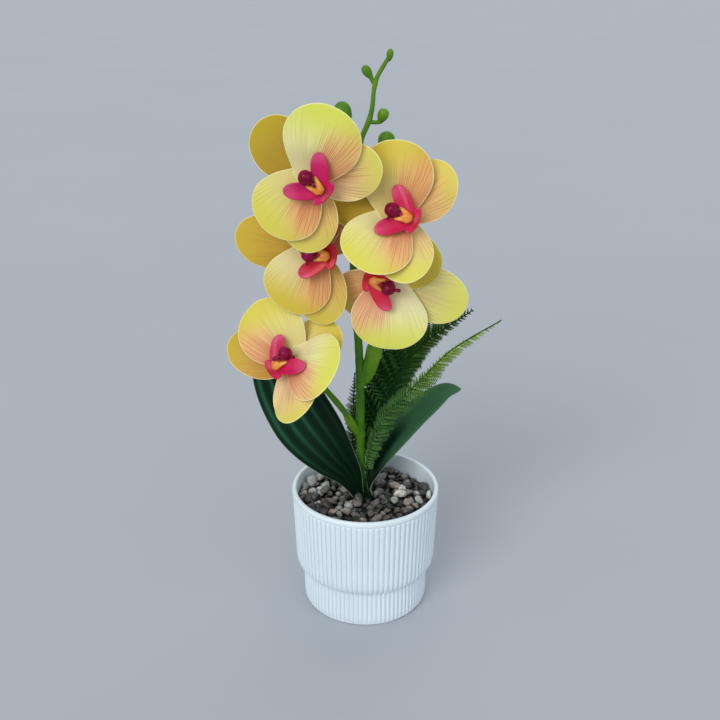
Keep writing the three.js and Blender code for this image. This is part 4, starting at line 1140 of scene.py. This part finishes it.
def make_stem(material):
    shape = Shape()
    count = 190
    line = smooth_line(STEM, count)
    knots = [b["stem_z"] for b in BLOOMS] + [bud[0][2] for bud in BUDS[1:]] + [160.0]
    z = line[:, 2]
    swell = sum(np.exp(-(((z - k) / 1.7) ** 2)) for k in knots)
    radii = line[:, 3] * (1 + 0.22 * np.minimum(swell, 1) + 0.03 * np.sin(z * 0.9))
    young = np.clip(0.25 + 0.35 * smoothstep(235, 275, z) + 0.35 * np.minimum(swell, 1), 0, 1)
    xyz, faces, run = tube(line[:, :3], radii, 18)
    shape.add(xyz, faces, young=np.interp(run, np.linspace(0, 1, count), young))
    stem = np.array(STEM)
    for b in BLOOMS:
        axes, centre = bloom_place(b)

        def at(*depths):
            """Places on the bloom's own axis, as rows."""
            return centre + np.outer(depths, axes[2])

        start = np.array([np.interp(b["stem_z"], stem[:, 2], stem[:, k]) for k in range(3)])
        mid = start + 0.5 * (at(-16) - start) + np.array([0, 0, 4])
        t = np.linspace(0, 1, 34)[:, None]
        curve = (1 - t) ** 3 * start + 3 * (1 - t) ** 2 * t * mid
        curve = curve + 3 * (1 - t) * t**2 * at(-14) + t**3 * at(-5)
        t = t[:, 0]
        radii = 1.7 - 0.35 * t + 0.35 * np.exp(-(((t - 0.03) / 0.06) ** 2)) + 0.08 * np.sin(26 * t)
        shape.add_run(tube(curve, radii, 16), young=(0.35, 0.3))
        # The cup behind the sepals, cut flat in front, and the peg through the bloom.
        cup, faces, _ = tube(at(-6.6, -5.4, -4.4, -3.6, -3.0), [1.25, 1.6, 2.1, 2.5, 2.4], 18)
        past = np.maximum((cup - centre) @ axes[2] + 2.95, 0)
        shape.add(cup - past[:, None] * axes[2], faces, young=0.7)
        shape.add_run(tube(at(*np.linspace(-3.4, 0.9, 6)), np.full(6, 0.95), 12), young=0.5)
    for bract in BRACTS:
        line = smooth_line(bract, 30)
        radii = line[:, 3] * (1 + 0.05 * np.sin(np.linspace(0, 9, 30)))
        shape.add_run(tube(line[:, :3], radii, 22, 0.36, (0, 1, 0)), young=(0.55, 0.4))
    for start, middle, towards, half_width, half_length in BUDS:
        start, seat = np.array(start, float), np.array(middle) - unit(towards) * 0.8 * half_length
        if np.linalg.norm(seat - start) > 2:
            bend = start + 0.55 * (seat - start) + np.array([0, 0, -0.5])
            line = smooth_line([start, bend, seat], 16)
            shape.add_run(tube(line, 1.2 - 0.25 * np.sin(np.linspace(0, math.pi, 16)), 12), young=0.6)
        fresh = 0.4 if half_width < 3 else 0.05
        shape.add_run(egg(middle, towards, half_width, half_length, 24, 16, -0.22, 0.07), young=(fresh, 0.55))
    piece("flower_stem_moulding", shape, material, "flower_stem")


# ---------------------------------------------------------------- leaves


LINE_ROWS = 400


def line_at(line, share, across):
    """A leaf's or frond's place at a share of its line, and its ways across, outwards and along there."""
    at = share * (len(line) - 1)
    tangents = each_unit(np.gradient(line, axis=0))
    centre, along = (
        np.array([np.interp(at, range(len(line)), column) for column in rows.T]) for rows in (line, tangents)
    )
    along, wide = unit(along), np.array(across, float)
    wide = unit(wide - along * np.dot(wide, along))
    return centre, wide, unit(np.cross(wide, along)), along


def leaf_share(t, spec):
    """The leaf's half-width at a share of its length, as a share of the widest."""
    past = (t - spec["widest"]) / (1 - spec["widest"])
    if past > 0:
        return max(0.0, 1 - past**2.2) ** spec["point"]
    return spec["base"] + (1 - spec["base"]) * math.sin(math.pi / 2 * t / spec["widest"]) ** spec["swell"]


def make_leaf(spec, material):
    rows, columns = 90, 56
    line = smooth_line(spec["line"], LINE_ROWS)
    front, back, values = [], [], []
    for i in range(rows + 1):
        t = 0.997 * (i / rows) ** 0.9
        centre, wide, facing, _ = line_at(line, t, spec["across"])
        half = max(1.5 if i < rows / 2 else 0.35, spec["half"] * leaf_share(t, spec))
        deep = 0.7 + 1.2 * (1 - t) ** 6
        past_middle = smoothstep(0.65, 0.95, t)
        for k in range(columns + 1):
            s = 2 * k / columns - 1
            s = math.copysign(1 - (1 - abs(s)) ** 1.25, s)
            wave = math.cos(math.pi * spec["ribs"] * (s + 1))
            rib = spec["rib_height"] * (1 - wave) * min(1, half / 8)
            curl = 0.5 * math.sin(5.1 * t + 1.3) * abs(s) ** 3 * min(1, half / 12)
            fold = spec["fold"] * (1 - 0.8 * past_middle) + (spec["cup"] * (1 - t) ** 6 if s > 0 else 0)
            rise = fold * half * (math.hypot(s, 0.25) - 0.25) * min(1, i / 3) + rib + curl
            p = centre + wide * s * half + facing * rise
            front.append(p)
            back.append(p - facing * deep * (0.45 + 0.55 * (1 - abs(s) ** 4)))
            ridge = 0.5 - 0.5 * wave if abs(s) < 0.98 else 0.5
            lit = max(smoothstep(-0.1, 0.25, s), smoothstep(0.4, 0.65, t)) * smoothstep(0.1, 0.4, t)
            edge = min((1 - abs(s)) * half, (1 - t) * 95)
            values.append(((s + 1) / 2, ridge, edge, t, spec["light"] * lit))
    n, width = len(front), columns + 1
    faces = []
    for a in (i * width + k for i in range(rows) for k in range(columns)):
        faces.append((a, a + 1, a + 1 + width, a + width))
        faces.append((n + a, n + a + width, n + a + width + 1, n + a + 1))
    grid = np.arange(n).reshape(rows + 1, width)
    border = np.concatenate([grid[0], grid[1:, -1], grid[-1, -2::-1], grid[-2:0:-1, 0]]).tolist()
    for p, q in zip(border, border[1:] + border[:1]):
        faces.append((p, n + p, n + q, q))
    shape = Shape()
    across, ridge, edge, run, lit = np.array(values * 2, float).T
    shape.add(front + back, faces, across=across, ridge=ridge, edge=edge, run=run, lit=lit)
    # The stub that stands in the gravel.
    x, y = FEET[spec["name"]]
    stub = [(x, y, 52), (x, y, 55), (x, y, 58), (x, y, 60), line[0], line[12]]
    radii = [2, 2, 2, 1.95, 1.7, 1.0]
    shape.add_run(tube(stub, radii, 16), across=0.5, ridge=0.6, edge=5.0, run=0.0, lit=0.0)
    piece(spec["name"] + "_blade", shape, material, spec["name"])


# ---------------------------------------------------------------- ferns


def make_fern(spec, material):
    line = smooth_line(spec["line"], LINE_ROWS)
    x, y = FEET[spec["name"]]
    dice = random.Random(spec["seed"])
    whole = smooth_line([(x, y, 52), (x, y, 58), *spec["line"]], 120)
    rachis = Shape()
    rachis.add_run(tube(whole, 0.95 - 0.65 * np.linspace(0, 1, 120), 10), young=0.0, needle=0.05)
    piece(spec["name"] + "_rib", rachis, material, spec["name"])

    bare, pitch = 0.1, 2.1
    length = np.sum(np.linalg.norm(np.diff(line, axis=0), axis=1))
    pairs = int(length * (1 - bare) / pitch)
    leaflets = []
    for i in range(pairs * 3):
        side, step = i % 3, i // 3
        u = (step + 0.5 + dice.uniform(-0.2, 0.2)) / pairs
        centre, wide, facing, along = line_at(line, bare + (1 - bare) * u, spec["across"])
        taper = min(1, spec["low"] + 1.4 * u) * min(1, 1.9 * (1 - u) + 0.12) * dice.uniform(0.84, 1.02)
        if side == 2:
            # A short leaflet stands up along the rib between the two that lie to its sides.
            reach = 0.42 * max(spec["sides"]) * taper
            aim = along * 0.9 + facing * 0.5 + wide * dice.uniform(-0.7, 0.7)
        else:
            fuller = 1 + (spec["full"][side] - 1) * (1 - smoothstep(0.35, 0.7, u))
            reach = 1.12 * spec["sides"][side] * taper * fuller
            aim = wide * (1 if side else -1) + along * 0.85 + facing * dice.uniform(-0.25, 0.2)
        face = unit(facing + wide * dice.uniform(-0.35, 0.35))
        age = spec["young"] * smoothstep(0.42, 0.75, u) * dice.uniform(0.8, 1.05)
        leaflets.append((*(centre * MM), *unit(aim), *face, reach * MM, age))
    table = np.array(leaflets, float)
    roots = bpy.data.meshes.new("leaflet_roots")
    roots.from_pydata(table[:, :3].tolist(), [], [])
    for key, kind, columns, field in (
        ("aim", "FLOAT_VECTOR", slice(3, 6), "vector"), ("face", "FLOAT_VECTOR", slice(6, 9), "vector"),
        ("reach", "FLOAT", 9, "value"), ("young", "FLOAT", 10, "value"),
    ):
        roots.attributes.new(key, kind, "POINT").data.foreach_set(field, table[:, columns].ravel())
    grown(
        spec["name"] + "_leaflets", roots, FEATHERED_FROND, "fern", spec["name"],
        Pairs=8, Needle=0.4, Thickness=0.07, Material=material,
    )


# ---------------------------------------------------------------- floor, light and camera


def make_studio():
    half = 14.0
    corners = [(-half, -half, 0), (half, -half, 0), (half, half, 0), (-half, half, 0)]
    mesh = bpy.data.meshes.new("floor")
    mesh.from_pydata(corners, [], [(0, 1, 2, 3)])
    mesh.materials.append(floor_finish())
    new_object("floor", mesh)

    world = bpy.data.worlds.new("studio")
    world.use_nodes = True
    background = world.node_tree.nodes["Background"]
    background.inputs["Color"].default_value = (0.86, 0.93, 1.0, 1.0)
    background.inputs["Strength"].default_value = 0.56
    scene.world = world

    aim_at = Vector((0.0, 0.0, 0.15))
    for name, place, soft, power, tint in (
        ("key", (-0.62, -1.1, 0.88), 35, 1.6, (1.0, 0.985, 0.96)),
        ("fill", (0.9, -0.9, 0.6), 70, 0.45, (0.95, 0.97, 1.0)),
        ("back", (0.2, 0.9, 0.9), 70, 0.6, (1.0, 1.0, 1.0)),
    ):
        light = bpy.data.lights.new(name, "SUN")
        light.angle, light.energy, light.color = math.radians(soft), power, tint
        lamp = new_object(name, light)
        lamp.location = place
        lamp.rotation_euler = (aim_at - Vector(place)).to_track_quat("-Z", "Y").to_euler()

    lens = bpy.data.cameras.new("camera")
    lens.sensor_width, lens.lens, lens.clip_start = 36.0, 47.5, 0.01
    camera = new_object("camera", lens)
    looks_down = 22.95
    camera.location = (-0.0029, -0.453, 0.3345)
    camera.rotation_euler = (math.radians(90 - looks_down), 0.0, 0.0)
    scene.camera = camera
    scene.view_settings.view_transform = "Standard"


make_studio()
make_pot(pot_finish())
bed_filler = gap_shade_finish()
make_gravel(pebble_finish(), bed_filler)
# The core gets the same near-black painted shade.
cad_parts["core"].material_slots[0].material = bed_filler
make_stem(stem_finish())
leaf_satin = leaf_finish()
for spec in LEAVES:
    make_leaf(spec, leaf_satin)
fern_plastic = fern_finish()
for spec in FERNS:
    make_fern(spec, fern_plastic)
finishes = petal_finish(), lip_finish(), callus_finish(), column_finish()
for b in BLOOMS:
    make_bloom(b, *finishes)
